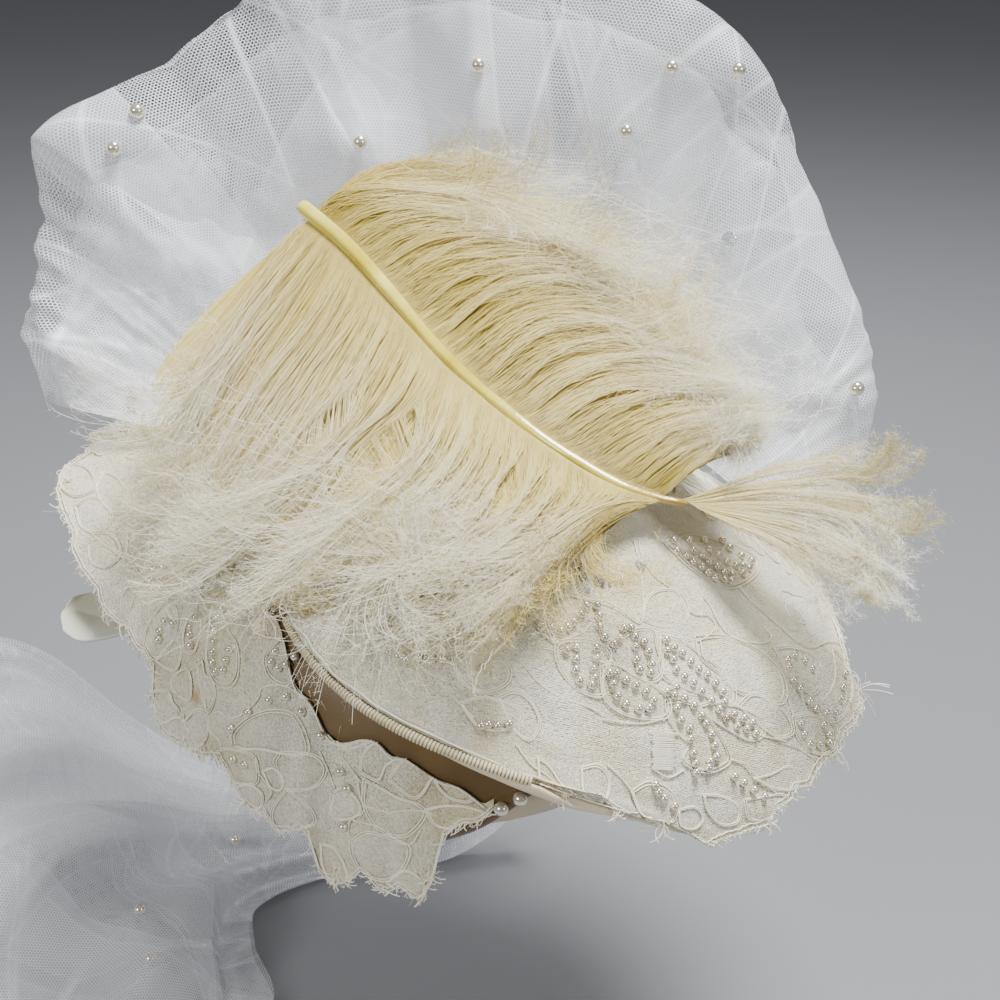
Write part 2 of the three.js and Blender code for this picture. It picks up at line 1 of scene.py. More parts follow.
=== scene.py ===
# Bridal hat: a satin crown, a wrap-over brim under corded lace, an ostrich plume laid over the
# top, and a pouf and a veil of white net. The tables are in millimetres, as a milliner measures,
# and every mesh is written in metres.
import math
import bpy
import numpy as np
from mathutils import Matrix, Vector


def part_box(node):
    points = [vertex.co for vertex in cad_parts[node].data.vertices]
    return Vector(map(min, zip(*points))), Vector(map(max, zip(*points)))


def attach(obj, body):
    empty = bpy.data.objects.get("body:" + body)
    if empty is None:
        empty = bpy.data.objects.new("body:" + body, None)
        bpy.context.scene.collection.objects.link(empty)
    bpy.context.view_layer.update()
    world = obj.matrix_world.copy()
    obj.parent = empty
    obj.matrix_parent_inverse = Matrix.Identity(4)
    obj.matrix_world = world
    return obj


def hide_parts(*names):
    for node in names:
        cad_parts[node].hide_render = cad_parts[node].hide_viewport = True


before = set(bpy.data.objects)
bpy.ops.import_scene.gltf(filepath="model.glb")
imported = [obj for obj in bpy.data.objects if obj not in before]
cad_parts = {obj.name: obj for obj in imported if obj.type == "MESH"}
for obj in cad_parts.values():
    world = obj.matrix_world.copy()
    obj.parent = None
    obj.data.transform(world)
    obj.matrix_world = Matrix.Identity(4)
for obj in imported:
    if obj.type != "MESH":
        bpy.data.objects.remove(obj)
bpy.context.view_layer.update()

MM = 0.001


# Camera: it looks down on the front of the hat by 25 degrees from under half a metre. The lens is
# that of a common studio shot, and the target is the middle of the picture.
VIEW_TARGET = Vector((0.017, 0.0, 0.057))
VIEW_DISTANCE = 0.450
VIEW_DOWN = math.radians(25)
VIEW_LENS = 52.2

view_back = Vector((0.0, -math.cos(VIEW_DOWN), math.sin(VIEW_DOWN)))
camera_data = bpy.data.cameras.new("view")
camera_data.lens = VIEW_LENS
camera_data.clip_start = 0.01
camera = bpy.data.objects.new("view", camera_data)
camera.location = VIEW_TARGET + view_back * VIEW_DISTANCE
camera.rotation_euler = (-view_back).to_track_quat("-Z", "Y").to_euler()
bpy.context.scene.collection.objects.link(camera)
bpy.context.scene.camera = camera


# Crown: a stiff dome covered in ivory satin, open below for the head. It is drawn tight over
# the block, so it has no seams, only faint drags in the cloth.
CROWN_HALF_WIDTH = 80.0
CROWN_HALF_DEPTH = 96.0
CROWN_HEIGHT = 90.0
CROWN_BASE = 6.0
CROWN_POWER = 2.5
CROWN_WALL = 2.4
IVORY_SATIN = (0.80, 0.70, 0.50, 1)
AGED_SATIN = (0.70, 0.54, 0.30, 1)


def put_mesh(name, points, faces, material, fields=None, flat=None):
    """Mesh object from points in millimetres and blocks of faces, each block with one number of
    corners. fields are named values for each point, flat is the place of each point on the
    cloth as it was cut, in millimetres."""
    blocks = [np.asarray(block) for block in (faces if isinstance(faces, list) else [faces])]
    corners = np.concatenate([block.ravel() for block in blocks]).astype(np.int32)
    sizes = np.concatenate([np.full(len(block), block.shape[1]) for block in blocks])
    mesh = bpy.data.meshes.new(name)
    mesh.vertices.add(len(points))
    mesh.vertices.foreach_set("co", (np.asarray(points) * MM).astype(np.float32).ravel())
    mesh.loops.add(len(corners))
    mesh.loops.foreach_set("vertex_index", corners)
    mesh.polygons.add(len(sizes))
    mesh.polygons.foreach_set("loop_start", (np.cumsum(sizes) - sizes).astype(np.int32))
    mesh.polygons.foreach_set("use_smooth", np.ones(len(sizes), dtype=bool))
    mesh.update(calc_edges=True)
    for field, values in (fields or {}).items():
        layer = mesh.attributes.new(field, "FLOAT", "POINT")
        layer.data.foreach_set("value", np.asarray(values, dtype=np.float32).ravel())
    if flat is not None:
        layer = mesh.uv_layers.new(name="flat")
        layer.data.foreach_set("uv", np.asarray(flat, dtype=np.float32)[corners].ravel())
    mesh.materials.append(material)
    made = bpy.data.objects.new(name, mesh)
    bpy.context.scene.collection.objects.link(made)
    return made


def grid_faces(rows, columns, closed=False):
    """Four-sided faces between neighbours in a grid of points stored row by row; closed joins
    the last column to the first."""
    i = np.arange(rows - 1)[:, None]
    j = np.arange(columns if closed else columns - 1)[None, :]
    k = (j + 1) % columns
    quads = [i * columns + j, i * columns + k, (i + 1) * columns + k, (i + 1) * columns + j]
    return np.stack(quads, axis=-1).reshape(-1, 4)


def fan(ring, tip):
    """Triangles from a closed ring of point numbers to the point that closes it."""
    return np.stack([ring, np.roll(ring, -1), np.full(len(ring), tip)], axis=1)


def outward(points, faces):
    """Turns all faces over if they enclose a negative volume."""
    a, b, c, d = (points[faces[:, k]] for k in range(4))
    volume = np.einsum("ij,ij->", a, np.cross(b, c)) + np.einsum("ij,ij->", a, np.cross(c, d))
    return faces if volume > 0 else faces[:, ::-1]


def closed_wall(lower, upper):
    """Closed wall between two grids of points: both grids, and a strip along their four edges."""
    rows, columns = lower.shape[:2]
    index = np.arange(rows * columns).reshape(rows, columns)
    ring = np.concatenate([index[0, :-1], index[:-1, -1], index[-1, :0:-1], index[:0:-1, 0]])
    after = np.roll(ring, -1)
    count = rows * columns
    strip = np.stack([after + count, ring + count, ring, after], axis=1)
    face = grid_faces(rows, columns)
    points = np.concatenate([lower.reshape(-1, 3), upper.reshape(-1, 3)])
    return points, outward(points, np.concatenate([face[:, ::-1], face + count, strip]))


def finish(name, **settings):
    """A new material, its node tree and its shader; settings are fixed values of the shader."""
    material = bpy.data.materials.new(name)
    material.use_nodes = True
    shader = material.node_tree.nodes["Principled BSDF"]
    for socket, value in settings.items():
        shader.inputs[socket.replace("_", " ")].default_value = value
    return material, material.node_tree, shader


def feed(tree, socket, value):
    """Links a socket to an input, or sets it to a fixed value."""
    if isinstance(value, bpy.types.NodeSocket):
        tree.links.new(value, socket)
    else:
        socket.default_value = value


def add_node(tree, kind, **settings):
    """Adds a shader node. A setting whose name starts with set_ is a property, any other is an
    input, given as a fixed value or as the socket that feeds it."""
    made = tree.nodes.new(kind)
    for name, value in settings.items():
        if name.startswith("set_"):
            setattr(made, name[4:], value)
        else:
            feed(tree, made.inputs[name.replace("_", " ")], value)
    return made


def place_in(tree):
    """Places on the object, in metres."""
    return tree.nodes.new("ShaderNodeTexCoord").outputs["Object"]


def attribute(tree, name):
    """The values that a mesh holds under a name, one for each point."""
    return add_node(tree, "ShaderNodeAttribute", set_attribute_name=name).outputs["Fac"]


def noise(tree, place, scale, detail=3.0, roughness=0.5):
    """Cloudy pattern from 0 to 1, with a scale in clouds to the metre."""
    return add_node(tree, "ShaderNodeTexNoise", Vector=place, Scale=scale, Detail=detail,
                    Roughness=roughness).outputs["Fac"]


def remap(tree, value, low, high, to_low=0.0, to_high=1.0):
    """A value carried over straight from one range to another and held at its ends."""
    return add_node(tree, "ShaderNodeMapRange", Value=value, From_Min=low, From_Max=high, To_Min=to_low,
                    To_Max=to_high).outputs["Result"]


def blend_colour(tree, amount, first, second):
    """Mix of two colours, each a fixed colour or a socket."""
    made = add_node(tree, "ShaderNodeMix", set_data_type="RGBA", Factor=amount)
    feed(tree, made.inputs[6], first)
    feed(tree, made.inputs[7], second)
    return made.outputs[2]


def reckon(tree, kind, operation, *values):
    """A node that works out an operation on its inputs in their order."""
    made = add_node(tree, kind, set_operation=operation)
    for socket, value in zip(made.inputs, values):
        feed(tree, socket, value)
    return made


def number(tree, operation, *values):
    """One value worked out from others."""
    return reckon(tree, "ShaderNodeMath", operation, *values).outputs[0]


def relief(tree, shader, height, depth, normal=None):
    """Bump of a depth in metres that feeds the shader's normal."""
    under = {} if normal is None else {"Normal": normal}
    made = add_node(tree, "ShaderNodeBump", Strength=1.0, Distance=depth, Height=height, **under)
    tree.links.new(made.outputs["Normal"], shader.inputs["Normal"])
    return made.outputs["Normal"]


def satin_finish(name, fresh, aged, clean=None):
    """Satin: soft gloss, a faint cross weave, slow drags in the cloth and patches gone yellow.
    With a clean colour, those two colours are painted shade, laid on only where the mesh's
    attribute for it says so, and the rest is the clean colour."""
    material, tree, shader = finish(name, Sheen_Weight=0.25, Sheen_Roughness=0.4)
    place = place_in(tree)
    patches = remap(tree, noise(tree, place, 22, 4), 0.42, 0.72)
    colour = blend_colour(tree, patches, fresh, aged)
    if clean:
        stain_and_shade = attribute(tree, "stain_and_shade")
        colour = blend_colour(tree, stain_and_shade, clean, colour)
    tree.links.new(colour, shader.inputs["Base Color"])
    weave = noise(tree, place, 2600, 1)
    drag = noise(tree, place, 45, 2)
    gloss = remap(tree, noise(tree, place, 90, 3), 0.3, 0.7, 0.36, 0.50)
    tree.links.new(gloss, shader.inputs["Roughness"])
    slow = relief(tree, shader, drag, 0.0012)
    relief(tree, shader, weave, 0.00006, slow)
    return material


def worn(piece, slot, *nodes):
    """Every piece rides on the hat's one body; nodes are the CAD pieces whose place it takes."""
    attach(piece, "root")
    if nodes:
        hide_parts(*nodes)
    return piece


def dome_share(height):
    """Width of the dome at a height, as a share of its width at the base."""
    rise = np.clip(height / CROWN_HEIGHT, 0, 1)
    return (1 - rise ** CROWN_POWER) ** (1 / CROWN_POWER)


def crown_radius(angle, height):
    """Distance from the middle line to the dome: an ellipse that shrinks with the height."""
    return dome_share(height) / np.hypot(np.sin(angle) / CROWN_HALF_WIDTH, np.cos(angle) / CROWN_HALF_DEPTH)


def dome(half_width, half_depth, height, rings, sides):
    """Rings of a squared dome: the width goes with a power of the cosine, the height with the
    same power of the sine."""
    low = math.asin((CROWN_BASE / height) ** (CROWN_POWER / 2))
    rise = np.linspace(low, math.pi / 2 - 0.02, rings)[:, None]
    turn = np.linspace(0, 2 * math.pi, sides, endpoint=False)[None, :]
    share = np.cos(rise) ** (2 / CROWN_POWER)
    z = height * np.sin(rise) ** (2 / CROWN_POWER) + 0 * turn
    return np.stack([half_width * share * np.cos(turn), half_depth * share * np.sin(turn), z], axis=-1)


def crown_wall(rings=36, sides=128):
    """Outer and inner dome joined by a strip at the open edge, each closed by a fan at the top."""
    outer = dome(CROWN_HALF_WIDTH, CROWN_HALF_DEPTH, CROWN_HEIGHT, rings, sides)
    inner = dome(CROWN_HALF_WIDTH - CROWN_WALL, CROWN_HALF_DEPTH - CROWN_WALL, CROWN_HEIGHT - CROWN_WALL,
                 rings, sides)
    tops = [[0, 0, CROWN_HEIGHT], [0, 0, CROWN_HEIGHT - CROWN_WALL]]
    points = np.concatenate([outer.reshape(-1, 3), inner.reshape(-1, 3), tops])
    count = rings * sides
    wall = grid_faces(rings, sides, closed=True)
    j = np.arange(sides)
    k = (j + 1) % sides
    strip = np.stack([j + count, k + count, k, j], axis=1)
    last = count - sides + j
    tops = [fan(last, 2 * count), fan(last + count, 2 * count + 1)[:, [1, 0, 2]]]
    return points, [np.concatenate([wall, wall[:, ::-1] + count, strip]), np.concatenate(tops)]


satin = satin_finish("ivory_satin", IVORY_SATIN, AGED_SATIN)
crown = put_mesh("crown_satin", *crown_wall(), satin)
worn(crown, "satin", "crown")


# Brim: one long strip of satin over a stiff base. It winds once round the crown and laps over
# itself in front, where its end is cut on a slant.
SEAT_GAP = 0.5
BRIM_WALL = 2.4
# turn: degrees round the rim, 0 at the front, 90 at the left; lag: degrees by which the seat
# runs ahead; seat: height on the crown; lift: distance off it; radius, height: the rim
BRIM_COLUMNS = ("turn", "lag", "seat", "lift", "radius", "height")
BRIM_ROWS = np.array([
    (-45, 0, 46, 0, 91, 34), (-18, 0, 48, 0, 101, 22), (-6, 0, 49, 0, 99.5, 8), (8, 0, 52, 0, 98.5, 2),
    (25, 0, 56, 0, 96.4, 2.1), (40, 0, 58, 0, 93.3, 10.3), (58, 0, 58, 0, 93.6, 25.3),
    (80, 0, 58, 0, 103.6, 35.5), (99, 0, 59, 0, 122.4, 49.3), (117, 0, 60, 0, 130, 53),
    (150, 0, 60, 0, 132, 46), (190, 0, 58, 0, 130, 34), (230, 0, 58, 0, 127, 22), (262, 0, 60, 0, 124, 15.5),
    (281, 2, 62, 0, 125.5, 9.5), (297, 8, 64, 1, 125, 3), (312, 16, 65, 4, 121, 1),
    (324, 24, 64, 5, 119, 4), (335, 32, 62, 5, 118.5, 16.5), (342, 37, 60, 5, 119, 24),
    (347, 40, 58, 5, 119, 32)], dtype=float)


def column(name, key):
    """One named column of the brim's table, read at a turn on a smooth curve: a cubic between two
    rows whose slopes are those across the neighbouring rows."""
    keys, values = BRIM_ROWS[:, 0], BRIM_ROWS[:, BRIM_COLUMNS.index(name)]
    i = np.clip(np.searchsorted(keys, key, "left") - 1, 0, len(keys) - 2)
    before = np.maximum(i - 1, 0)
    after = np.minimum(i + 2, len(keys) - 1)
    span = keys[i + 1] - keys[i]
    t = np.clip((key - keys[i]) / span, 0, 1)
    slope_in = (values[i + 1] - values[before]) / (keys[i + 1] - keys[before]) * span
    slope_out = (values[after] - values[i]) / (keys[after] - keys[i]) * span
    return ((2 * t ** 3 - 3 * t ** 2 + 1) * values[i] + (t ** 3 - 2 * t ** 2 + t) * slope_in
            + (3 * t ** 2 - 2 * t ** 3) * values[i + 1] + (t ** 3 - t ** 2) * slope_out)


def brim_point(turn, across):
    """The brim's lower face. The height goes evenly from seat to rim, and the distance from the
    middle line is the dome's at that height plus a share of the rim's flare. Above the seat,
    where across is less than 0, it climbs the dome."""
    read = lambda name: column(name, turn)
    height = read("seat") + (read("height") - read("seat")) * across
    angle = np.radians(turn + read("lag") * (1 - across))
    off = SEAT_GAP + read("lift")
    flare = np.maximum(read("radius") - crown_radius(np.radians(turn), read("height")) - off, 1)
    reach = crown_radius(angle, height) + off + flare * np.maximum(across, 0)
    return np.stack([-reach * np.sin(angle), -reach * np.cos(angle), height], axis=-1)


def unit(vectors):
    """Vectors divided by their lengths."""
    return vectors / np.maximum(np.linalg.norm(vectors, axis=-1, keepdims=True), 1e-9)


def on_brim(turn, across, height):
    """Point at a height over the brim's lower face, square to it."""
    turn, across = np.broadcast_arrays(np.asarray(turn, float), np.asarray(across, float))
    first, last = BRIM_ROWS[0, 0], BRIM_ROWS[-1, 0]
    along = brim_point(np.minimum(turn + 0.5, last), across) - brim_point(np.maximum(turn - 0.5, first), across)
    down = brim_point(turn, across + 0.01) - brim_point(turn, across - 0.01)
    return brim_point(turn, across) + unit(np.cross(along, down)) * np.asarray(height)[..., None]


BRIM_TURNS = np.linspace(BRIM_ROWS[0, 0], BRIM_ROWS[-1, 0], 240)[:, None]
BRIM_ACROSS = np.linspace(0, 1, 24)[None, :]
EDGE_SOFTNESS = 0.9
# The first two colours are painted shade, darker in patches, for the shadow that the over lobe casts on the front
# of the brim; the third is the satin's own colour.
SHADED_SATIN = (0.17, 0.105, 0.035, 1)
DEEP_SHADED_SATIN = (0.085, 0.04, 0.007, 1)
UNSHADED_SATIN = (0.74, 0.64, 0.44, 1)
# Painted shade along the brim at the front, where it lies under the over lobe, as turn and strength, and wear as
# turn and the share left of its width
SHADE_ALONG = [(-45, 0.5), (-25, 1.0), (38, 1.0), (66, 0.0)]
WORN_RIM = [(-45, 1.0), (236, 1.0), (262, 0.85), (274, 0.88), (283, 0.95), (288, 1.0), (347, 1.0)]


def brim_sheet():
    """Both faces of the brim; towards the rim and the two ends they close in, as a turned and
    stitched edge does. Over one stretch the rim is worn in by a few millimetres."""
    across = BRIM_ACROSS * np.interp(BRIM_TURNS, *np.array(WORN_RIM, float).T)
    to_edge = np.minimum(1 - BRIM_ACROSS, np.minimum(BRIM_TURNS - BRIM_TURNS[0], BRIM_TURNS[-1] - BRIM_TURNS) / 30)
    thin = EDGE_SOFTNESS * np.exp(-to_edge / 0.015)
    return closed_wall(on_brim(BRIM_TURNS, across, thin), on_brim(BRIM_TURNS, across, BRIM_WALL - thin))


# How much painted shade lies at each turn of the brim, carried on both faces as an attribute.
brim_shade = np.interp(BRIM_TURNS, *np.array(SHADE_ALONG, float).T) + 0 * BRIM_ACROSS
brim = put_mesh("brim_satin", *brim_sheet(), satin_finish("shaded_brim_satin", SHADED_SATIN, DEEP_SHADED_SATIN, UNSHADED_SATIN),
                {"stain_and_shade": np.tile(brim_shade.ravel(), 2)})
worn(brim, "satin", "brim")


# Gimp: a ribbed cream braid sewn along the slanted free edge of the brim, with a row of small
# pearls that looks out from under it.
GIMP_RADIUS = 1.3
GIMP_GAP = -0.3
GIMP_RISE = 0.6
GIMP_RIBS = 86
RIB_DEPTH = 0.5
GIMP_CREAM = (0.80, 0.70, 0.45, 1)
GIMP_SHADE = (0.10, 0.06, 0.02, 1)


def edge_places(count):
    """Middle line of the braid, which covers the cut edge, with the two directions square to it."""
    across = np.linspace(0.02, 0.97, count)
    end = BRIM_ROWS[-1, 0]
    edge = on_brim(np.full(count, end), across, np.full(count, BRIM_WALL / 2))
    up = unit(edge - on_brim(np.full(count, end), across, np.zeros(count)))
    down = unit(np.gradient(edge, axis=0))
    away = unit(np.cross(down, up))
    return edge + away * (GIMP_RADIUS + GIMP_GAP) + up * GIMP_RISE, away, up


def ring_tube(path, first, second, radius, sides, profile=1.0):
    """Closed tube: a circle at each point of the path in the plane of two directions, and a
    flat cap at either end. The radius may differ from point to point, and a profile says how
    far out the tube goes on each side, as a share of it."""
    turn = np.linspace(0, 2 * math.pi, sides, endpoint=False)
    size = np.broadcast_to(radius, (len(path),))[:, None, None]
    x, y = (np.cos(turn) * profile)[:, None], (np.sin(turn) * profile)[:, None]
    points = (path[:, None] + (first[:, None] * x + second[:, None] * y) * size).reshape(-1, 3)
    faces = outward(points, grid_faces(len(path), sides, closed=True))
    start = np.arange(sides)[None, :]
    caps = np.concatenate([start[:, ::-1], start + (len(path) - 1) * sides])
    if faces[0, 0] > faces[0, -1]:
        caps = caps[:, ::-1]
    return points, [faces, caps]


def gimp_finish():
    """Braid: matt cream cord with patches of dirt, and painted shade in the grooves between its ribs."""
    material, tree, shader = finish("gimp_braid", Roughness=0.7)
    place = place_in(tree)
    groove = attribute(tree, "groove")
    dirt = remap(tree, noise(tree, place, 160, 3), 0.4, 0.75, 0, 0.5)
    # The grooves are painted shade; the noise laid over them is dirt.
    tree.links.new(blend_colour(tree, number(tree, "MAXIMUM", groove, dirt), GIMP_CREAM, GIMP_SHADE),
                   shader.inputs["Base Color"])
    relief(tree, shader, noise(tree, place, 2400, 2), 0.0001)
    return material


def gimp_braid(steps=8, sides=12):
    """Tube whose radius swells and shrinks once for each rib."""
    phase = np.linspace(0, GIMP_RIBS * math.pi, GIMP_RIBS * steps)
    path, away, up = edge_places(len(phase))
    rib = np.abs(np.sin(phase))
    points, faces = ring_tube(path, away, up, GIMP_RADIUS - RIB_DEPTH * (1 - rib) ** 2, sides)
    # groove: how deep in a groove a point lies, which the finish paints as shade.
    return points, faces, {"groove": np.repeat((1 - rib) ** 1.4, sides)}


gimp_points, gimp_faces, gimp_fields = gimp_braid()
gimp = put_mesh("gimp_braid", gimp_points, gimp_faces, gimp_finish(), gimp_fields)
worn(gimp, "gimp", "brim_edge_gimp")


# Lace: re-embroidered lace laid over each lobe of the brim. Petals and leaves are dense cloth on
# a fine net, a thick thread is couched round each of them, and the rim is cut out along them, so
# it is scalloped and frayed. What shows in front is charted; the rest is of the same petals.
LACE_LIFT = 3.4
CLOTH_RISE = 0.28
CORD_RADIUS = 0.22
SECOND_CORD = 0.025
SCALLOP_DEPTH = 4.0
RIM_DROP = 2.5
END_DROP = 0.3
END_TURN = 1.6
PHOTO_WIDTH = 1000
LENS_PIXELS = VIEW_LENS / 36 * PHOTO_WIDTH
LACE_CREAM = (0.98, 0.95, 0.80, 1)
LACE_SHADE = (0.86, 0.76, 0.50, 1)
# The under lobe's lace colours: darker, as painted shade.
SHADY_CREAM = (0.98, 0.94, 0.78, 1)
SHADY_BROWN = (0.72, 0.60, 0.34, 1)
TEA_STAIN = (0.78, 0.63, 0.32, 1)
GREEN_STAIN = (0.78, 0.72, 0.38, 1)
RUST_STAIN = (0.60, 0.36, 0.08, 1)
CORD_CREAM = (0.97, 0.93, 0.78, 1)
EYE = np.array(VIEW_TARGET + view_back * VIEW_DISTANCE) / MM
LOOK_BACK = np.array(view_back)
LOOK_UP = np.array([0.0, math.sin(VIEW_DOWN), math.cos(VIEW_DOWN)])
UNDER_TURNS = (-9.0, 138.0)
OVER_TURNS = (236.0, 346.98)


def pixel_of(points):
    """Where the camera sees points, in pixels of the photograph."""
    sight = points - EYE
    depth = -(sight @ LOOK_BACK)
    return np.stack([PHOTO_WIDTH / 2 + LENS_PIXELS * sight[..., 0] / depth,
                     PHOTO_WIDTH / 2 - LENS_PIXELS * (sight @ LOOK_UP) / depth], axis=-1)


def seen_on_brim(pixels, turns, height=LACE_LIFT):
    """Turn and across of the places on a lobe that show at pixels: the nearest point of a
    coarse grid that faces the camera, then four steps of Newton's method."""
    turn, across = np.meshgrid(np.arange(turns[0] - 3, turns[1] + 1.5, 1.0), np.arange(-0.1, 1.45, 0.02),
                               indexing="ij")
    grid = on_brim(turn, across, height)
    normal = grid - on_brim(turn, across, height - 1)
    facing = np.einsum("ijk,ijk->ij", normal, EYE - grid) > 0
    turn, across, grid = turn[facing], across[facing], pixel_of(grid[facing])
    nearest = np.argmin(((np.asarray(pixels, float)[:, None] - grid[None]) ** 2).sum(axis=2), axis=1)
    turn, across = turn[nearest], across[nearest]
    for _ in range(4):
        here = pixel_of(on_brim(turn, across, height))
        by_turn = (pixel_of(on_brim(turn + 0.3, across, height)) - here) / 0.3
        by_across = (pixel_of(on_brim(turn, across + 0.004, height)) - here) / 0.004
        miss = np.asarray(pixels, float) - here
        area = by_turn[:, 0] * by_across[:, 1] - by_turn[:, 1] * by_across[:, 0]
        area = np.where(np.abs(area) < 1, 1, area)
        turn = turn + np.clip((miss[:, 0] * by_across[:, 1] - miss[:, 1] * by_across[:, 0]) / area, -1.5, 1.5)
        across = across + np.clip((by_turn[:, 0] * miss[:, 1] - by_turn[:, 1] * miss[:, 0]) / area, -0.03, 0.03)
    return np.stack([turn, across], axis=1)


def seen_places(pixels, turns, height=LACE_LIFT):
    """Points at a height over a lobe that show at pixels."""
    return on_brim(*seen_on_brim(pixels, turns, height).T, height)


def spans(points, t):
    """Points with one more at either end, in line with the last two, and the number of the span
    and the share of it at which a share t of the whole way lies."""
    ends = np.concatenate([2 * points[:1] - points[1:2], points, 2 * points[-1:] - points[-2:-1]])
    x = np.clip(t, 0, 1) * (len(points) - 1)
    i = np.minimum(x.astype(int), len(points) - 2)
    return ends, i, x - i


def smooth(a, b, c, d, f):
    """Catmull-Rom curve: the cubic from b to c whose slopes are half of c - a and of d - b."""
    return 0.5 * (2 * b + (c - a) * f + (2 * a - 5 * b + 4 * c - d) * f ** 2 + (3 * b - a - 3 * c + d) * f ** 3)


def through(points, t):
    """Smooth curve through points, read at shares t of its way."""
    ends, i, f = spans(points, t)
    return smooth(ends[i], ends[i + 1], ends[i + 2], ends[i + 3], f.reshape(i.shape + (1,) * (points.ndim - 1)))


def evenly(line, spacing):
    """Points at an even spacing along a line."""
    steps = np.linalg.norm(np.diff(line, axis=0), axis=1)
    way = np.concatenate([[0], np.cumsum(steps)])
    marks = np.linspace(0, way[-1], max(int(round(way[-1] / spacing)), 2) + 1)
    return np.stack([np.interp(marks, way, line[:, k]) for k in range(line.shape[1])], axis=1)


SMALL_PEARL_RADIUS = 1.22
PEARL_SEAT = LACE_LIFT + CLOTH_RISE + 0.45 * SMALL_PEARL_RADIUS
MM_PER_PIXEL = 0.33
CHART_SPACING = 3.0

# Charts: the corner and scale of an enlargement of the photograph, then what shows on it. Petals
# are closed outlines of dense cloth, cords are open lines, and pearls are rows with a pearl at
# each place. Every row is x, y, x, y and so on.
OVER_CHART = {"corner": (500, 540), "scale": 3.92}
OVER_CHART["petals"] = [
    [430, 470, 390, 420, 330, 400, 240, 405, 225, 450, 255, 530, 320, 590, 395, 605, 398, 540], [400, 495, 450, 490,
    520, 530, 620, 590, 655, 640, 640, 690, 560, 695, 470, 670, 412, 610], [440, 440, 470, 400, 530, 360, 595, 365,
    612, 430, 630, 490, 620, 535, 580, 548, 500, 510], [640, 385, 700, 400, 780, 450, 860, 510, 905, 570, 900, 640,
    830, 615, 720, 575, 640, 525], [780, 655, 850, 640, 940, 660, 1010, 700, 1022, 760, 970, 780, 890, 740,
    830, 700], [655, 640, 720, 640, 790, 680, 850, 760, 890, 850, 855, 888, 790, 900, 718, 860, 738, 800, 700, 760,
    665, 700], [660, 20, 700, 60, 760, 115, 830, 160, 910, 180, 985, 140, 1002, 85, 940, 40, 850, 5, 740, -20],
    [1080, 430, 1140, 425, 1205, 445, 1245, 490, 1250, 560, 1215, 600, 1170, 560, 1120, 500], [1150, 700, 1165, 765,
    1210, 820, 1270, 835, 1310, 800, 1308, 740, 1270, 705, 1205, 690], [1300, 430, 1345, 480, 1372, 545, 1370, 620,
    1335, 690, 1280, 700, 1252, 650, 1295, 590, 1312, 520], [780, 390, 860, 385, 940, 405, 1020, 450, 1085, 515,
    1108, 590, 1085, 635, 1010, 605, 930, 590, 870, 530, 800, 470], [560, 310, 575, 240, 615, 205, 680, 205,
    720, 245, 728, 300, 690, 330, 620, 335], [940, 650, 990, 610, 1060, 640, 1120, 690, 1140, 750, 1090, 770,
    1040, 745, 985, 700], [1000, 935, 1060, 920, 1130, 890, 1165, 930, 1140, 975, 1070, 970], [150, 860, 190, 890,
    240, 960, 300, 1010, 290, 1050, 220, 1030, 165, 980], [320, 900, 380, 890, 420, 930, 415, 1000, 380, 1030,
    330, 1000], [520, 990, 580, 960, 650, 985, 690, 1045, 660, 1110, 600, 1105, 550, 1070], [700, 1060, 760, 1050,
    790, 1090, 760, 1130, 710, 1120], [800, 1000, 870, 1010, 930, 1050, 920, 1105, 860, 1110, 815, 1060],
    [960, 1020, 1030, 1010, 1100, 1000, 1130, 1040, 1060, 1085, 980, 1090], [-180, 470, -110, 440, -30, 455,
    30, 500, 20, 560, -60, 590, -140, 560], [-150, 640, -60, 620, 40, 650, 80, 700, 20, 740, -80, 730], [0, 620,
    60, 600, 120, 640, 150, 720, 110, 780, 50, 730], [-400, 330, -330, 300, -250, 330, -220, 400, -290, 440,
    -370, 410], [-520, 290, -450, 250, -380, 270, -400, 330, -470, 350], [120, 160, 190, 100, 280, 70, 330, 130,
    300, 200, 200, 220]]
OVER_CHART["cords"] = [
    [270, 220, 350, 235, 430, 250, 500, 300, 545, 330, 562, 290, 555, 200, 545, 100, 520, 0], [540, 10, 560, 80,
    600, 140, 650, 180, 700, 215, 725, 270, 765, 295, 815, 300, 842, 345, 800, 385, 770, 400], [805, 190, 790, 220,
    822, 262, 850, 320, 890, 370, 960, 400, 1030, 405, 1062, 380, 1030, 340], [930, 180, 980, 240, 1040, 290,
    1100, 345, 1160, 395, 1225, 420, 1285, 400, 1335, 408], [1100, 200, 1200, 230, 1270, 270, 1310, 330, 1338, 400],
    [1110, 600, 1130, 640, 1148, 700], [1022, 770, 1085, 782, 1140, 800, 1200, 840, 1260, 860], [160, 370, 210, 395,
    270, 385, 330, 360, 360, 330, 390, 400, 430, 430, 430, 470, 400, 495], [60, 800, 120, 880, 190, 930, 260, 1000,
    360, 1060, 460, 1080, 540, 1070], [400, 700, 470, 715, 560, 720, 640, 700], [900, 860, 960, 880, 1010, 935,
    1090, 1000], [420, 880, 470, 930, 520, 990], [600, 900, 660, 930, 720, 900], [-300, 420, -200, 480, -120, 560,
    -40, 620, 20, 650], [-240, 560, -160, 640, -100, 700], [-420, 380, -350, 460, -280, 520, -200, 560], [-560, 320,
    -480, 370, -410, 400], [0, 440, 80, 480, 150, 560, 240, 620, 330, 650, 420, 690]]
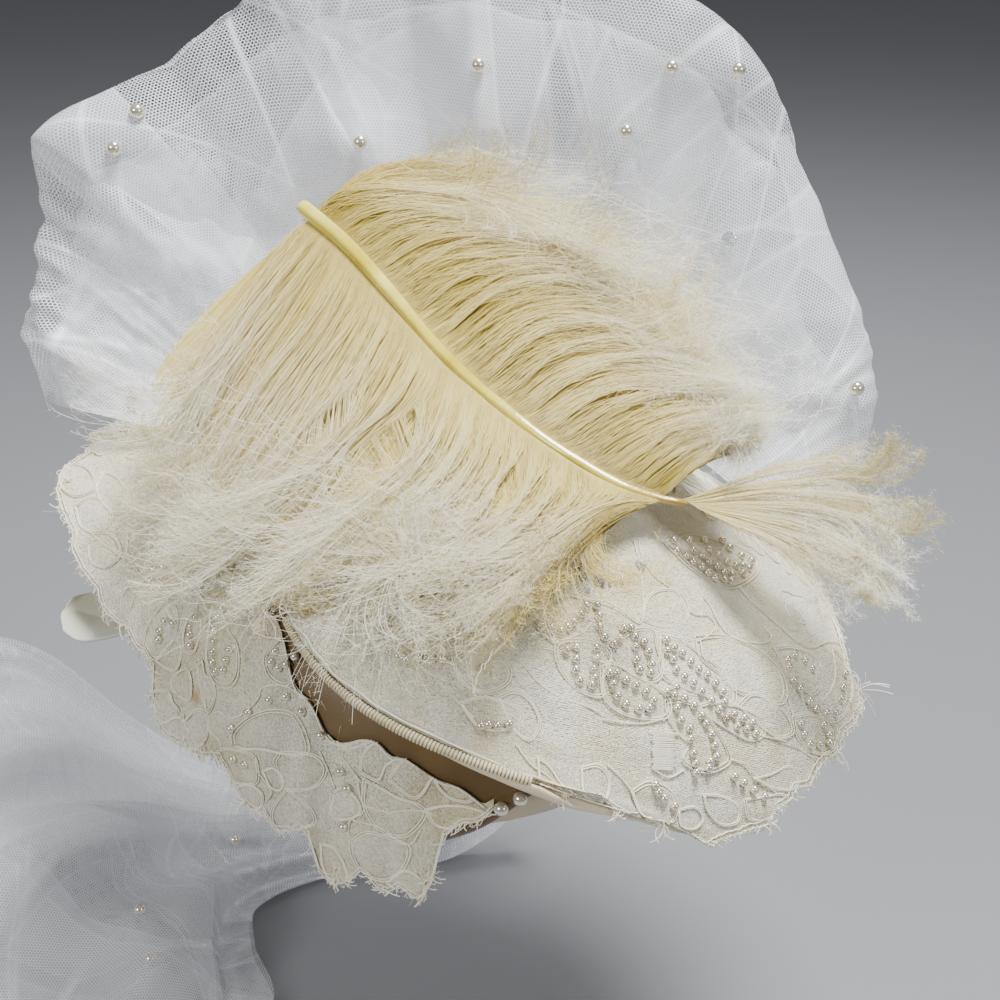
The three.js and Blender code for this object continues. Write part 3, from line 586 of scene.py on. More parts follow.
OVER_CHART["pearls"] = [
    [165, 338, 201, 345, 240, 356, 265, 340, 290, 320, 317, 290, 338, 256], [380, 256, 388, 297, 390, 340, 410, 380,
    447, 407, 470, 384, 485, 345, 512, 343], [300, 465, 297, 507, 312, 550, 360, 567], [380, 462, 368, 505,
    372, 540], [378, 422, 300, 420, 262, 430], [430, 520, 445, 563, 462, 610, 495, 642, 545, 660, 585, 658,
    602, 628], [458, 520, 495, 548, 533, 569, 573, 593], [530, 378, 565, 398, 583, 437, 595, 487, 591, 520],
    [533, 418, 535, 468, 547, 506], [652, 392, 683, 420, 714, 443, 747, 477, 778, 506, 812, 528, 845, 560, 873, 595,
    880, 635], [655, 434, 680, 467, 690, 506, 722, 534, 757, 560, 790, 592, 828, 630, 860, 662, 887, 700],
    [655, 595, 690, 578], [684, 608, 723, 620, 760, 648, 790, 687, 808, 720, 831, 762, 842, 806], [695, 657,
    710, 705, 744, 737, 747, 780, 759, 835, 768, 875, 770, 911], [850, 847, 824, 867, 818, 893], [887, 700,
    917, 682, 956, 698, 990, 715, 1003, 758], [931, 729, 968, 740], [1132, 497, 1127, 468, 1155, 450, 1195, 473,
    1222, 505], [1150, 547, 1178, 582, 1215, 630, 1241, 660, 1280, 678, 1315, 681, 1336, 620, 1346, 575, 1352, 522],
    [1180, 720, 1193, 760, 1215, 799, 1254, 802, 1292, 793, 1291, 762, 1268, 723], [610, 960, 622, 988, 645, 1012,
    685, 1043], [920, 926, 957, 951, 998, 979, 1037, 1006], [680, 0, 693, 42, 730, 60, 757, 85, 790, 105, 815, 128,
    842, 148, 880, 155, 905, 160], [740, 0, 757, 40, 793, 60, 820, 85, 850, 105, 880, 125, 910, 135, 950, 130,
    975, 110], [800, 0, 820, 40, 855, 60, 890, 85, 925, 100, 950, 100, 985, 80], [870, 0, 900, 30, 945, 60],
    [-75, 728, -45, 722, -10, 728, 36, 720], [-380, 462, -322, 462, -274, 464, -227, 466], [-400, 455, -370, 470],
    [-608, 325, -578, 378]]
UNDER_CHART = {"corner": (140, 580), "scale": 5.227}
UNDER_CHART["petals"] = [
    [902, 230, 905, 330, 880, 430, 820, 500, 760, 538, 700, 510, 668, 455, 668, 390, 720, 330, 790, 260], [392, 90,
    378, 190, 362, 300, 355, 400, 375, 480, 410, 530, 470, 540, 505, 490, 512, 400, 500, 330, 470, 280, 440, 200],
    [290, 160, 322, 210, 312, 300, 285, 372, 240, 360, 232, 300, 250, 220], [160, 105, 110, 150, 60, 220, 30, 300,
    50, 370, 90, 405, 150, 350, 190, 270, 190, 180], [90, 420, 150, 462, 195, 462, 215, 400, 212, 330, 180, 320],
    [30, 600, 22, 665, 50, 740, 110, 755, 175, 715, 200, 680, 170, 640, 150, 590, 90, 585], [100, 760, 112, 835,
    180, 862, 225, 835, 238, 775, 205, 720], [232, 750, 240, 860, 290, 872, 340, 835, 357, 780, 350, 700, 290, 690],
    [200, 600, 170, 540, 200, 490, 250, 470, 270, 530, 262, 620], [300, 440, 330, 430, 345, 500, 380, 520, 395, 600,
    360, 680, 330, 590], [505, 865, 500, 805, 560, 740, 640, 700, 720, 690, 790, 705, 832, 755, 862, 830, 868, 890,
    815, 910, 740, 900, 640, 880, 560, 880], [740, 905, 715, 950, 735, 1010, 760, 1080, 850, 1090, 930, 1060,
    965, 990, 930, 930, 840, 905], [1000, 805, 1060, 755, 1120, 712, 1200, 700, 1262, 672, 1312, 725, 1300, 790,
    1180, 850, 1075, 872], [1160, 1000, 1165, 930, 1210, 868, 1275, 838, 1335, 872, 1340, 925, 1285, 965,
    1265, 1010, 1240, 1040], [1310, 1040, 1340, 990, 1400, 925, 1480, 915, 1545, 950, 1520, 1030, 1440, 1130],
    [1180, 1050, 1260, 1090, 1350, 1140, 1450, 1175, 1480, 1230, 1380, 1330, 1250, 1290, 1180, 1180], [430, 1000,
    400, 945, 432, 890, 500, 890, 590, 920, 615, 1000, 600, 1058, 500, 1050], [500, 1110, 512, 1165, 560, 1185,
    622, 1192, 642, 1130, 600, 1082, 540, 1072], [650, 1000, 700, 985, 745, 1030, 740, 1090, 690, 1080], [770, 1100,
    830, 1140, 885, 1190, 912, 1260, 850, 1290, 780, 1310, 715, 1290, 700, 1200], [1020, 1110, 1060, 1090,
    1120, 1130, 1150, 1200, 1100, 1240, 1010, 1230], [-60, -240, 20, -280, 80, -220, 70, -130, 10, -80, -60, -120],
    [-330, -380, -260, -420, -180, -400, -150, -320, -210, -250, -300, -280], [-260, -180, -190, -240, -120, -200,
    -110, -120, -180, -70, -250, -100], [-420, -560, -340, -600, -260, -560, -240, -480, -320, -440, -400, -480],
    [-180, -560, -110, -520, -60, -440, -90, -360, -170, -380, -220, -470], [1560, 960, 1640, 950, 1700, 1000,
    1760, 1090, 1720, 1150, 1620, 1130, 1550, 1050], [1500, 1200, 1600, 1180, 1720, 1190, 1800, 1230, 1700, 1290,
    1560, 1280], [1110, 1370, 1190, 1322, 1290, 1345, 1395, 1395, 1370, 1500, 1280, 1560, 1170, 1520, 1120, 1440],
    [950, 1380, 1010, 1400, 1060, 1470, 1080, 1560, 1010, 1580, 960, 1490], [1300, 1580, 1380, 1520, 1460, 1560,
    1480, 1630, 1400, 1660]]
UNDER_CHART["cords"] = [
    [380, 700, 430, 690, 470, 722, 540, 700, 620, 620, 645, 562, 750, 550, 830, 590, 910, 642, 942, 690, 962, 750,
    1000, 803], [372, 730, 362, 780, 420, 840, 430, 892], [1075, 872, 1060, 920, 1110, 990, 1150, 1050],
    [1140, 1060, 1150, 1120, 1172, 1180, 1160, 1222, 1110, 1242, 1090, 1300, 1110, 1360], [940, 890, 962, 940,
    992, 1010, 1022, 1090], [1000, 1130, 990, 1250], [340, 560, 345, 620, 355, 700], [155, 590, 180, 660],
    [232, 700, 236, 790], [610, 930, 622, 1000, 690, 1100, 660, 1160], [260, 480, 330, 430], [395, 0, 382, 100,
    395, 170], [430, 20, 445, 120, 430, 200, 440, 260], [300, 0, 320, 60, 300, 160], [60, 0, 100, 60, 160, 100],
    [-40, -80, 20, -10, 90, 60], [-260, -250, -180, -180, -110, -130, -40, -100], [1110, 1250, 1250, 1290,
    1400, 1380, 1470, 1300], [1180, 1180, 1300, 1210, 1440, 1200, 1560, 1230]]
UNDER_CHART["pearls"] = [
    [128, 215, 100, 268, 95, 312], [172, 225, 172, 226], [290, 195, 265, 240, 258, 287, 262, 340], [427, 150,
    405, 195, 388, 265, 387, 320, 382, 375, 378, 430, 393, 478, 432, 470, 447, 418, 463, 365], [320, 40, 318, 90],
    [843, 270, 833, 325, 808, 400, 762, 440, 723, 457, 683, 430, 703, 375], [672, 627, 762, 610], [560, 692,
    561, 693], [843, 688, 844, 689], [472, 777, 473, 778], [942, 810, 943, 811], [1042, 1000, 1043, 1001],
    [1077, 1090, 1078, 1091], [485, 935, 545, 965], [1060, 1290, 1061, 1291], [105, -184, 65, -109, 70, -54, 58, 2],
    [120, -69, 117, -7, 110, 38]]
# Rim of the under lobe's lace where the photograph shows it: turn, across, turn, across
UNDER_RIM = [-9, 0.88, -7, 0.91, -4, 0.88, -1.2, 0.93, 0, 1.18, 2, 1.34, 3.5, 1.3, 5, 1.22, 7, 1.26, 9, 1.22,
    11, 1.12, 13, 1.2, 16, 1.24, 18, 1.18, 19.5, 0.99, 21, 0.95, 23, 1, 26, 1.04, 28, 0.97, 30, 1.02, 33, 1.02,
    36, 0.94, 39, 0.92, 42, 1.01, 45, 1.1, 49.2, 1.18, 52.2, 1.28, 55, 1.3, 57.5, 1.16, 59, 1, 62, 0.98, 65, 1.02,
    69, 0.99, 72, 1.05, 76, 1.09, 80, 1.05, 84, 1.09, 87.8, 1.09, 90.8, 1.03, 95, 1.06, 99, 1.09, 104, 1.09,
    108, 1.01, 113, 1.02]
# The same for the over lobe
OVER_RIM = [236, 1.0, 250, 0.94, 264.5, 0.88, 269, 0.89, 273, 0.92, 279.3, 0.94, 283.3, 0.97, 284.2, 1.05,
    286, 1.08, 288, 1.06, 290, 1.05, 293.8, 1.0, 297, 1.01, 301.3, 0.98, 304.5, 1.01, 307, 0.98, 309.5, 1.01,
    312, 1.0, 314.3, 1.04, 317.5, 1.02, 322.3, 1.02, 326, 1.07, 329.5, 1.12, 331.5, 1.16, 333, 1.18, 335, 1.16,
    336.3, 1.09, 337.5, 1.14, 339, 1.18, 341, 1.16, 343, 1.18, 347, 1.17]
# Upper edge of the under lobe's lace beside the braid, in pixels
UNDER_TOP = [(285, 640), (295, 684), (312, 704), (328, 736), (345, 743), (362, 738), (378, 742), (392, 757),
             (404, 757), (425, 771), (441, 781), (460, 787), (485, 806)]


def reach_of(turn):
    """Length of the brim from seat to rim."""
    return np.linalg.norm(brim_point(turn, np.zeros_like(turn)) - brim_point(turn, np.ones_like(turn)), axis=-1)


def lace_rim(turn, turns, scallops, seen):
    """Across at the lace's rim: as the photograph shows it, or a row of scallops past the rim."""
    share = (turn - turns[0]) / (turns[1] - turns[0])
    plain = 1 + (RIM_DROP + SCALLOP_DEPTH * np.abs(np.sin(scallops * math.pi * share)) ** 0.6) / reach_of(turn)
    if seen is None:
        return plain
    at, across = np.array(seen, float).reshape(-1, 2).T
    return np.where((turn >= at.min()) & (turn <= at.max()), np.interp(turn, at, across), plain)


def inside(polygon, points):
    """Whether points lie in a polygon: an odd number of its sides passes to their right."""
    low, high = polygon.min(axis=0), polygon.max(axis=0)
    near = np.all((points > low) & (points < high), axis=-1)
    x, y = points[near].T
    a, b = polygon, np.roll(polygon, -1, axis=0)
    rise = np.where(a[:, 1] == b[:, 1], 1e-9, b[:, 1] - a[:, 1])
    crosses = (a[:, 1] > y[:, None]) != (b[:, 1] > y[:, None])
    cut = a[:, 0] + (y[:, None] - a[:, 1]) / rise * (b[:, 0] - a[:, 0])
    found = np.zeros(len(points), dtype=bool)
    found[near] = (crosses & (cut > x[:, None])).sum(axis=1) % 2 == 1
    return found


def petal_outline(length, width, notch):
    """Outline of a petal that runs out from its root and back: the width goes with a sine and
    grows outwards, and a dip notches the tip."""
    s = np.linspace(0, 1, 24, endpoint=False)
    out = (1 - np.cos(2 * math.pi * s)) / 2
    x = length * out * (1 - notch * np.exp(-((s - 0.5) / 0.08) ** 2))
    return np.stack([x, width / 2 * np.sin(2 * math.pi * s) * (0.5 + 0.8 * out)], axis=1)


def placed(outline, turn, across, angle):
    """Outline in millimetres turned by an angle and laid on the brim at a place."""
    c, s = math.cos(angle), math.sin(angle)
    along, down = outline[:, 0] * c - outline[:, 1] * s, outline[:, 0] * s + outline[:, 1] * c
    at = across + down / reach_of(np.full(len(outline), turn))
    middle = brim_point(np.full(len(outline), turn), at)
    pace = np.linalg.norm(brim_point(np.full(len(outline), turn + 1), at) - middle, axis=1)
    return np.stack([turn + along / pace, at], axis=1)


FLOWER_PETALS = 5
FILL_SPACING = 12.0
FILL_LAST_TURN = 322.0


def fill_pattern(turns, taken, seed, tries=1400):
    """Flowers and leaves where the chart shows none. Seeded places are kept one by one if they
    lie clear of those before them."""
    rng = np.random.default_rng(seed)
    turn = rng.uniform(turns[0] + 2, min(turns[1] - 2, FILL_LAST_TURN), tries)
    across = rng.uniform(0.08, 0.98, tries)
    seats = brim_point(turn, across)
    kept = [seat for seat in taken]
    found = []
    for k in range(tries):
        big = k < tries // 8
        room = FILL_SPACING * (1.45 if big else 0.72)
        if kept and np.min(np.linalg.norm(np.array(kept) - seats[k], axis=1)) < room:
            continue
        kept.append(seats[k])
        heading = rng.uniform(0, 2 * math.pi)
        if big:
            size = rng.uniform(10, 13)
            for petal in range(FLOWER_PETALS):
                angle = heading + 2 * math.pi * petal / FLOWER_PETALS
                outline = petal_outline(size, size * 0.78, rng.uniform(0.05, 0.25)) + [1.6, 0]
                found.append(placed(outline, turn[k], across[k], angle))
                kept.append(seats[k])
        else:
            size = rng.uniform(7, 11)
            outline = petal_outline(size, size * rng.uniform(0.45, 0.7), rng.uniform(-0.1, 0.2)) - [size / 2, 0]
            found.append(placed(outline, turn[k], across[k], heading))
    return found


def charted(rows, chart, turns, closed, spacing):
    """Smooth lines through the rows of a chart, laid on a lobe."""
    lines = []
    for row in rows:
        line = np.array(row + row[:2] if closed else row, float).reshape(-1, 2)
        line = evenly(through(line, np.linspace(0, 1, 12 * len(line))), spacing * chart["scale"])
        pixels = line / chart["scale"] + chart["corner"]
        lines.append(seen_on_brim(pixels, turns))
    return lines


def lace_pattern(chart, turns, seed):
    """Closed petals and open cords on a lobe as turn and across, the charted pearls' places, and
    the petals that fill the rest."""
    petals = charted(chart["petals"], chart, turns, True, CHART_SPACING)
    cords = charted(chart["cords"], chart, turns, False, CHART_SPACING)
    pixels = np.array(sum(chart["pearls"], []), float).reshape(-1, 2) / chart["scale"] + chart["corner"]
    busy = np.concatenate(petals + cords)[::2]
    filled = fill_pattern(turns, brim_point(*busy.T), seed)
    return petals, cords, seen_places(pixels, turns, PEARL_SEAT), filled


def spotted(points, spots, turns):
    """Strength of the charted stains at points: each spot is a pixel, a radius in millimetres
    and a strength, and fades outwards."""
    total = np.zeros(len(points))
    for x, y, radius, strength in spots:
        away = np.linalg.norm(points - seen_places([(x, y)], turns), axis=1)
        total = np.maximum(total, strength * np.exp(-(away / radius) ** 2))
    return total


def shares(rows, columns):
    """Two grids with the shares along and across."""
    return np.meshgrid(np.linspace(0, 1, rows), np.linspace(0, 1, columns), indexing="ij")


def laid_flat(points, measure):
    """Places of a grid of cloth as it was cut: across, the steps from line to line, and down, the
    way along each line. Gives those, the two kinds of steps and the area."""
    pace = np.linalg.norm(np.diff(points, axis=0), axis=2)
    down = np.linalg.norm(np.diff(points, axis=1), axis=2)
    across = np.concatenate([[0], np.cumsum(measure(pace))])[:, None] + np.zeros(points.shape[1])
    drop = np.concatenate([np.zeros((len(points), 1)), np.cumsum(down, axis=1)], axis=1)
    flat = np.stack([across, drop], axis=-1).reshape(-1, 2)
    return flat, pace, down, float((pace[:, :-1] * down[:-1]).sum())


LACE_STEPS = (350, 90)


def lace_sheet(turns, petals, top, rim, seed, steps=LACE_STEPS):
    """The lace as one sheet: cloth stands proud of the net, and both puff and pucker a little."""
    u, v = shares(*steps)
    turn = turns[0] + (turns[1] - turns[0]) * u
    across = top[:, None] + (rim - top)[:, None] * v
    places = np.stack([turn, across], axis=-1).reshape(-1, 2)
    cloth = np.zeros(len(places))
    for outline in petals:
        cloth[inside(outline, places)] = 1
    cloth = cloth.reshape(steps)
    soft = cloth.copy()
    for _ in range(2):
        soft[1:-1, 1:-1] = (soft[1:-1, 1:-1] * 2 + soft[2:, 1:-1] + soft[:-2, 1:-1] + soft[1:-1, 2:]
                            + soft[1:-1, :-2]) / 6
    rng = np.random.default_rng(seed)
    pucker = np.zeros(steps)
    for _ in range(40):
        ahead, down, start = rng.uniform(0.05, 0.9), rng.uniform(2, 34), rng.uniform(0, 2 * math.pi)
        pucker += np.sin(ahead * turn + down * across * rng.choice([-1, 1]) + start) / math.sqrt(40)
    ending = np.clip((turn - BRIM_ROWS[-1, 0] + END_TURN) / END_TURN, 0, 1) ** 1.5
    height = LACE_LIFT + CLOTH_RISE * soft + 0.25 * pucker * (1 - ending) - END_DROP * ending
    points = on_brim(turn, across, height)
    flat, _, _, area = laid_flat(points, lambda pace: pace.mean(axis=1))
    # seam: painted shade along the outlines of the petals, where the cords lie.
    fields = {"cloth": soft.ravel(), "seam": (4 * soft * (1 - soft)).ravel()}
    return points.reshape(-1, 3), grid_faces(*steps), fields, flat, area


def lace_finish(name, cream, shade, openness):
    """Lace: twilled cloth in the petals, a ground between them that opens into net in places,
    painted shade along the seams beside the cords, and brown, green and rust stains. Attributes
    called cloth, seam and rust say which is where."""
    material, tree, shader = finish(name, Roughness=0.7, Sheen_Weight=0.15)
    place = place_in(tree)
    flat = add_node(tree, "ShaderNodeUVMap", set_uv_map="flat").outputs["UV"]
    cloth, seam, rust = attribute(tree, "cloth"), attribute(tree, "seam"), attribute(tree, "rust")
    twill = add_node(tree, "ShaderNodeTexWave", set_bands_direction="DIAGONAL", Vector=flat, Scale=0.62,
                     Distortion=3.0, Detail=3.0).outputs["Fac"]
    holes = add_node(tree, "ShaderNodeTexVoronoi", set_feature="DISTANCE_TO_EDGE", Vector=flat, Scale=0.85,
                     Randomness=0.5)
    open_here = number(tree, "MULTIPLY", remap(tree, noise(tree, place, 55, 2), 0.40, 0.62, 0.15, openness),
                       remap(tree, cloth, 0.3, 0.8, 1.0, 0.0))
    hole = number(tree, "MULTIPLY", remap(tree, holes.outputs["Distance"], 0.08, 0.30), open_here)
    mottle = noise(tree, place, 420, 4, 0.65)
    felt = noise(tree, place, 1500, 3, 0.6)
    ribs = number(tree, "MULTIPLY", twill, remap(tree, mottle, 0.3, 0.7, 0.05, 0.35))
    grain = number(tree, "MAXIMUM", ribs, remap(tree, felt, 0.5, 0.72, 0.0, 0.55))
    # The seam's share of this dark is painted shade beside the cords; the holes, the grain and the mottle are the
    # lace's own.
    dark = number(tree, "MAXIMUM", number(tree, "MAXIMUM", hole, grain), number(tree, "MULTIPLY", seam, 0.65))
    dark = number(tree, "MAXIMUM", dark, remap(tree, mottle, 0.50, 0.75, 0.0, 0.55))
    clean = blend_colour(tree, dark, cream, shade)
    stain_and_shade = remap(tree, noise(tree, place, 38, 4, 0.6), 0.46, 0.70, 0, 0.75)
    green = remap(tree, noise(tree, place, 31, 3, 0.5), 0.52, 0.70, 0, 0.6)
    stained = blend_colour(tree, green, blend_colour(tree, stain_and_shade, clean, TEA_STAIN), GREEN_STAIN)
    tree.links.new(blend_colour(tree, rust, stained, RUST_STAIN), shader.inputs["Base Color"])
    raised = number(tree, "SUBTRACT", number(tree, "MULTIPLY", twill, 0.6), hole)
    first = relief(tree, shader, raised, 0.00028)
    second = relief(tree, shader, mottle, 0.0009, first)
    relief(tree, shader, felt, 0.0007, second)
    return material


def cord_finish():
    """Couched thread: cream, faintly glossy, with the twist of its plies."""
    material, tree, shader = finish("lace_cord", Roughness=0.5, Sheen_Weight=0.2)
    place = place_in(tree)
    aged = remap(tree, noise(tree, place, 50, 3), 0.5, 0.75, 0, 0.4)
    tree.links.new(blend_colour(tree, aged, CORD_CREAM, TEA_STAIN), shader.inputs["Base Color"])
    relief(tree, shader, noise(tree, place, 2200, 2), 0.00012)
    return material


def joined(parts):
    """One mesh out of several (points, blocks of faces) pairs."""
    starts = np.cumsum([0] + [len(points) for points, _ in parts[:-1]])
    sized = {}
    for (_, blocks), start in zip(parts, starts):
        for block in blocks:
            sized.setdefault(block.shape[1], []).append(block + start)
    return np.concatenate([points for points, _ in parts]), [np.concatenate(blocks) for blocks in sized.values()]


def couched(lines, radius, height, sides=4):
    """Threads laid on the lace along lines of turn and across."""
    ropes = []
    for line in lines:
        path = on_brim(line[:, 0], line[:, 1], height)
        up = unit(path - on_brim(line[:, 0], line[:, 1], height - 1))
        ahead = unit(np.gradient(path, axis=0))
        ropes.append(ring_tube(path, unit(np.cross(ahead, up)), up, radius, sides))
    return joined(ropes)


def loop(outline):
    """A closed outline as a line that ends where it starts."""
    return np.concatenate([outline, outline[:1]])


def ribbons(paths, across, width):
    """Flat strands: each is a strip with two points at every step of its path."""
    count, steps = paths.shape[:2]
    half = across * width[..., None] / 2
    points = np.stack([paths - half, paths + half], axis=2).reshape(-1, 3)
    i = np.arange(count)[:, None] * steps * 2
    j = np.arange(steps - 1)[None, :] * 2
    return points, np.stack([i + j, i + j + 1, i + j + 3, i + j + 2], axis=-1).reshape(-1, 4)


def frayed(root, away, side, length, rng):
    """Cut thread ends: thin flat curls that leave their roots at random and droop."""
    count = len(root)
    bend, curl = rng.normal(0, 0.7, count), rng.uniform(-3.0, 3.0, count)
    s = np.linspace(0, 1, 7)
    swing = bend[:, None] + curl[:, None] * s
    step = away[:, None] * np.cos(swing)[..., None] + side[:, None] * np.sin(swing)[..., None]
    step = length[:, None, None] / 6 * step
    paths = root[:, None] + np.cumsum(step, axis=1) - step[:, :1]
    paths[..., 2] -= (s ** 2)[None, :] * length[:, None] * 0.15
    broad = unit(np.cross(unit(np.gradient(paths, axis=1)), unit(rng.normal(0, 1, (count, 1, 3)))))
    points, faces = ribbons(paths, broad, np.full(paths.shape[:2], 0.26))
    return points, [faces]


def rim_fray(turn, rim, count, longest, rng):
    """Thread ends all along a rim."""
    picks = rng.integers(2, len(turn) - 2, count)
    root = on_brim(turn[picks], rim[picks] - 0.01, LACE_LIFT + rng.uniform(-0.3, 0.6, count))
    away = unit(root - on_brim(turn[picks], rim[picks] - 0.04, LACE_LIFT))
    side = unit(on_brim(turn[picks + 1], rim[picks], LACE_LIFT) - on_brim(turn[picks - 1], rim[picks], LACE_LIFT))
    return frayed(root, away, side, longest * rng.uniform(0.25, 1, count) ** 1.6, rng)


def tufts(rows, turns, rng, threads=16):
    """Bunches of longer thread ends, each from a pixel on the rim towards another."""
    parts = []
    for x, y, end_x, end_y in rows:
        root = seen_places([(x, y)], turns) + rng.normal(0, 0.5, (threads, 3))
        run = (end_x - x) * np.array([1.0, 0, 0]) - (end_y - y) * LOOK_UP
        away = unit(run + rng.normal(0, 0.18 * np.linalg.norm(run), (threads, 3)))
        length = np.linalg.norm(run) * MM_PER_PIXEL * rng.uniform(0.5, 1.1, threads)
        parts.append(frayed(root, away, unit(np.cross(away, LOOK_BACK)), length, rng))
    return parts


PEARL_WHITE = (0.88, 0.83, 0.73, 1)


def pearl_finish(name, colour):
    """Pearl: a smooth bead under a clear lustre, a little warmer in patches."""
    material, tree, shader = finish(name, Metallic=0.75, Coat_Weight=1.0, Coat_Roughness=0.05,
                                    Specular_IOR_Level=0.8)
    place = place_in(tree)
    warm = tuple(value * share for value, share in zip(colour[:3], (1.0, 0.95, 0.85))) + (1,)
    tree.links.new(blend_colour(tree, noise(tree, place, 120, 2), colour, warm), shader.inputs["Base Color"])
    tree.links.new(remap(tree, noise(tree, place, 300, 2), 0.3, 0.7, 0.12, 0.22), shader.inputs["Roughness"])
    return material


def ball(radius, rings, sides):
    """Points and faces of a sphere, closed by a fan at each pole."""
    rise = np.linspace(-math.pi / 2, math.pi / 2, rings + 2)[1:-1, None]
    turn = np.linspace(0, 2 * math.pi, sides, endpoint=False)[None, :]
    body = np.stack([np.cos(rise) * np.cos(turn), np.cos(rise) * np.sin(turn), np.sin(rise) + 0 * turn], axis=-1)
    points = np.concatenate([body.reshape(-1, 3), [[0, 0, -1], [0, 0, 1]]]) * radius
    quads = grid_faces(rings, sides, closed=True)
    first, count = np.arange(sides), rings * sides
    poles = [fan(first, count)[:, [1, 0, 2]], fan(first + count - sides, count + 1)]
    return points, [quads, np.concatenate(poles)]


def balls(centres, radius, rings=6, sides=11):
    """Many spheres as one mesh."""
    points, blocks = ball(radius, rings, sides)
    starts = np.arange(len(centres)) * len(points)
    every = (np.asarray(centres)[:, None] + points[None]).reshape(-1, 3)
    return every, [(block[None] + starts[:, None, None]).reshape(-1, block.shape[1]) for block in blocks]


over_cloth = lace_finish("over_cloth", LACE_CREAM, LACE_SHADE, 0.35)
# The under lobe's lace is a darker copy of the same lace: painted shade for the lobe that lies under the other,
# with more of its net open.
shaded_under_cloth = lace_finish("shaded_under_cloth", SHADY_CREAM, SHADY_BROWN, 0.5)
cord_thread = cord_finish()
pearl_lustre = pearl_finish("pearl_lustre", PEARL_WHITE)


def lay_lace(name, node, chart, turns, top_rows, top_seen, rim_seen, seed):
    """Builds one lobe's lace sheet, its cords with the frayed rim, and its pearls. Charted
    petals have a second cord a little outside the first."""
    rng = np.random.default_rng(seed)
    petals, cords, pearls, filled = lace_pattern(chart, turns, seed)
    turn = np.linspace(*turns, LACE_STEPS[0])
    rim = lace_rim(turn, turns, SCALLOPS, rim_seen) + 0.006 * np.sin(turn * 3.1) * np.sin(turn * 1.3 + 2)
    top = np.interp(turn, *np.array(top_rows, float).T)
    if top_seen is not None:
        line = evenly(through(np.array(top_seen, float), np.linspace(0, 1, 200)), 4.0)
        at, across = seen_on_brim(line, turns).T
        inner = np.stack([at, across + 0.01], axis=1)
        order = np.argsort(at)
        level = np.convolve(np.pad(across[order], 2, "edge"), np.full(5, 0.2), "valid")
        top = np.where(turn < at.max(), np.interp(turn, at[order], level), top)
    top = np.minimum(top, rim - 0.04)
    points, faces, fields, flat, area = lace_sheet(turns, petals + filled, top, rim, seed)
    fields["rust"] = spotted(points, chart["stains"], turns)
    cloth = over_cloth if turns is OVER_TURNS else shaded_under_cloth
    sheet = worn(put_mesh(name, points, faces, cloth, fields, flat), "lace", node)
    doubles = [outline + (outline - outline.mean(axis=0)) * 0.10 for outline in petals]
    lines = []
    for line in [loop(outline) for outline in petals + doubles + filled] + cords:
        highest, lowest = (np.interp(line[:, 0], turn, edge) for edge in (top, rim))
        keep = (line[:, 1] > highest - 0.01) & (line[:, 1] < lowest + 0.01)
        cuts = np.flatnonzero(np.diff(keep.astype(int))) + 1
        lines += [run for run, kept in zip(np.split(line, cuts), np.split(keep, cuts)) if kept[0] and len(run) > 3]
    edge = np.stack([turn, rim], axis=1)[::2]
    high = LACE_LIFT + CLOTH_RISE + CORD_RADIUS * 0.35
    if top_seen is None:
        down = np.linspace(top[-1] + 0.02, rim[-1] - 0.03, 70)
        inner = np.stack([turns[1] - 0.75 + 0.5 * np.sin(down * 37) * np.sin(down * 11 + 1), down], axis=1)
    ropes = [couched(lines + [edge, edge - [0, SECOND_CORD]], CORD_RADIUS, high),
             couched([inner], CORD_RADIUS * 1.5, high)]
    ropes += [rim_fray(turn, rim, count, longest, rng) for count, longest in RIM_THREADS]
    ropes += tufts(chart["tufts"], turns, rng)
    worn(put_mesh(name + "_cords", *joined(ropes), cord_thread), "lace")
    worn(put_mesh(name + "_pearls", *balls(pearls, SMALL_PEARL_RADIUS), pearl_lustre), "pearl")
    width = float(np.linalg.norm(np.diff(on_brim(turn, (top + rim) / 2, LACE_LIFT), axis=0), axis=1).sum())
    length = float(np.max((rim - top) * reach_of(turn)))


SCALLOPS = 9
RIM_THREADS = ((1500, 3.2), (90, 7.0))
OVER_CHART["stains"] = [(325, 619, 1.3, 0.95), (371, 641, 1.6, 0.5), (600, 571, 5.0, 0.45), (622, 583, 5.0, 0.4),
                        (668, 583, 1.3, 0.8), (482, 668, 1.5, 0.6), (548, 790, 4.0, 0.5), (486, 742, 3.0, 0.35)]
UNDER_CHART["stains"] = [(195, 697, 2.2, 0.8), (185, 575, 5.0, 0.45), (150, 530, 5.0, 0.35), (272, 625, 6.0, 0.3),
                         (420, 790, 5.0, 0.25), (122, 478, 5.0, 0.25)]
OVER_CHART["tufts"] = [(855, 690, 886, 682), (835, 752, 850, 768), (846, 700, 858, 722), (768, 822, 778, 830),
    (612, 822, 606, 834), (660, 834, 652, 852), (560, 800, 548, 806)]
UNDER_CHART["tufts"] = [(206, 744, 204, 756), (72, 482, 58, 476), (150, 700, 146, 692), (430, 872, 436, 884),
    (340, 868, 330, 882), (100, 440, 104, 424), (250, 800, 238, 812)]
UNDER_SEAM = [(-9, 0.82), (30, 0.06), (45, 0.03), (138, 0.03)]
OVER_SEAM = [(236, 0.05), (275, 0.03), (292, -0.1), (325, -0.06), (345, 0.03)]
lay_lace("under_lace", "lace_under", UNDER_CHART, UNDER_TURNS, UNDER_SEAM, UNDER_TOP, UNDER_RIM, seed=11)
lay_lace("over_lace", "lace_over", OVER_CHART, OVER_TURNS, OVER_SEAM, None, OVER_RIM, seed=12)

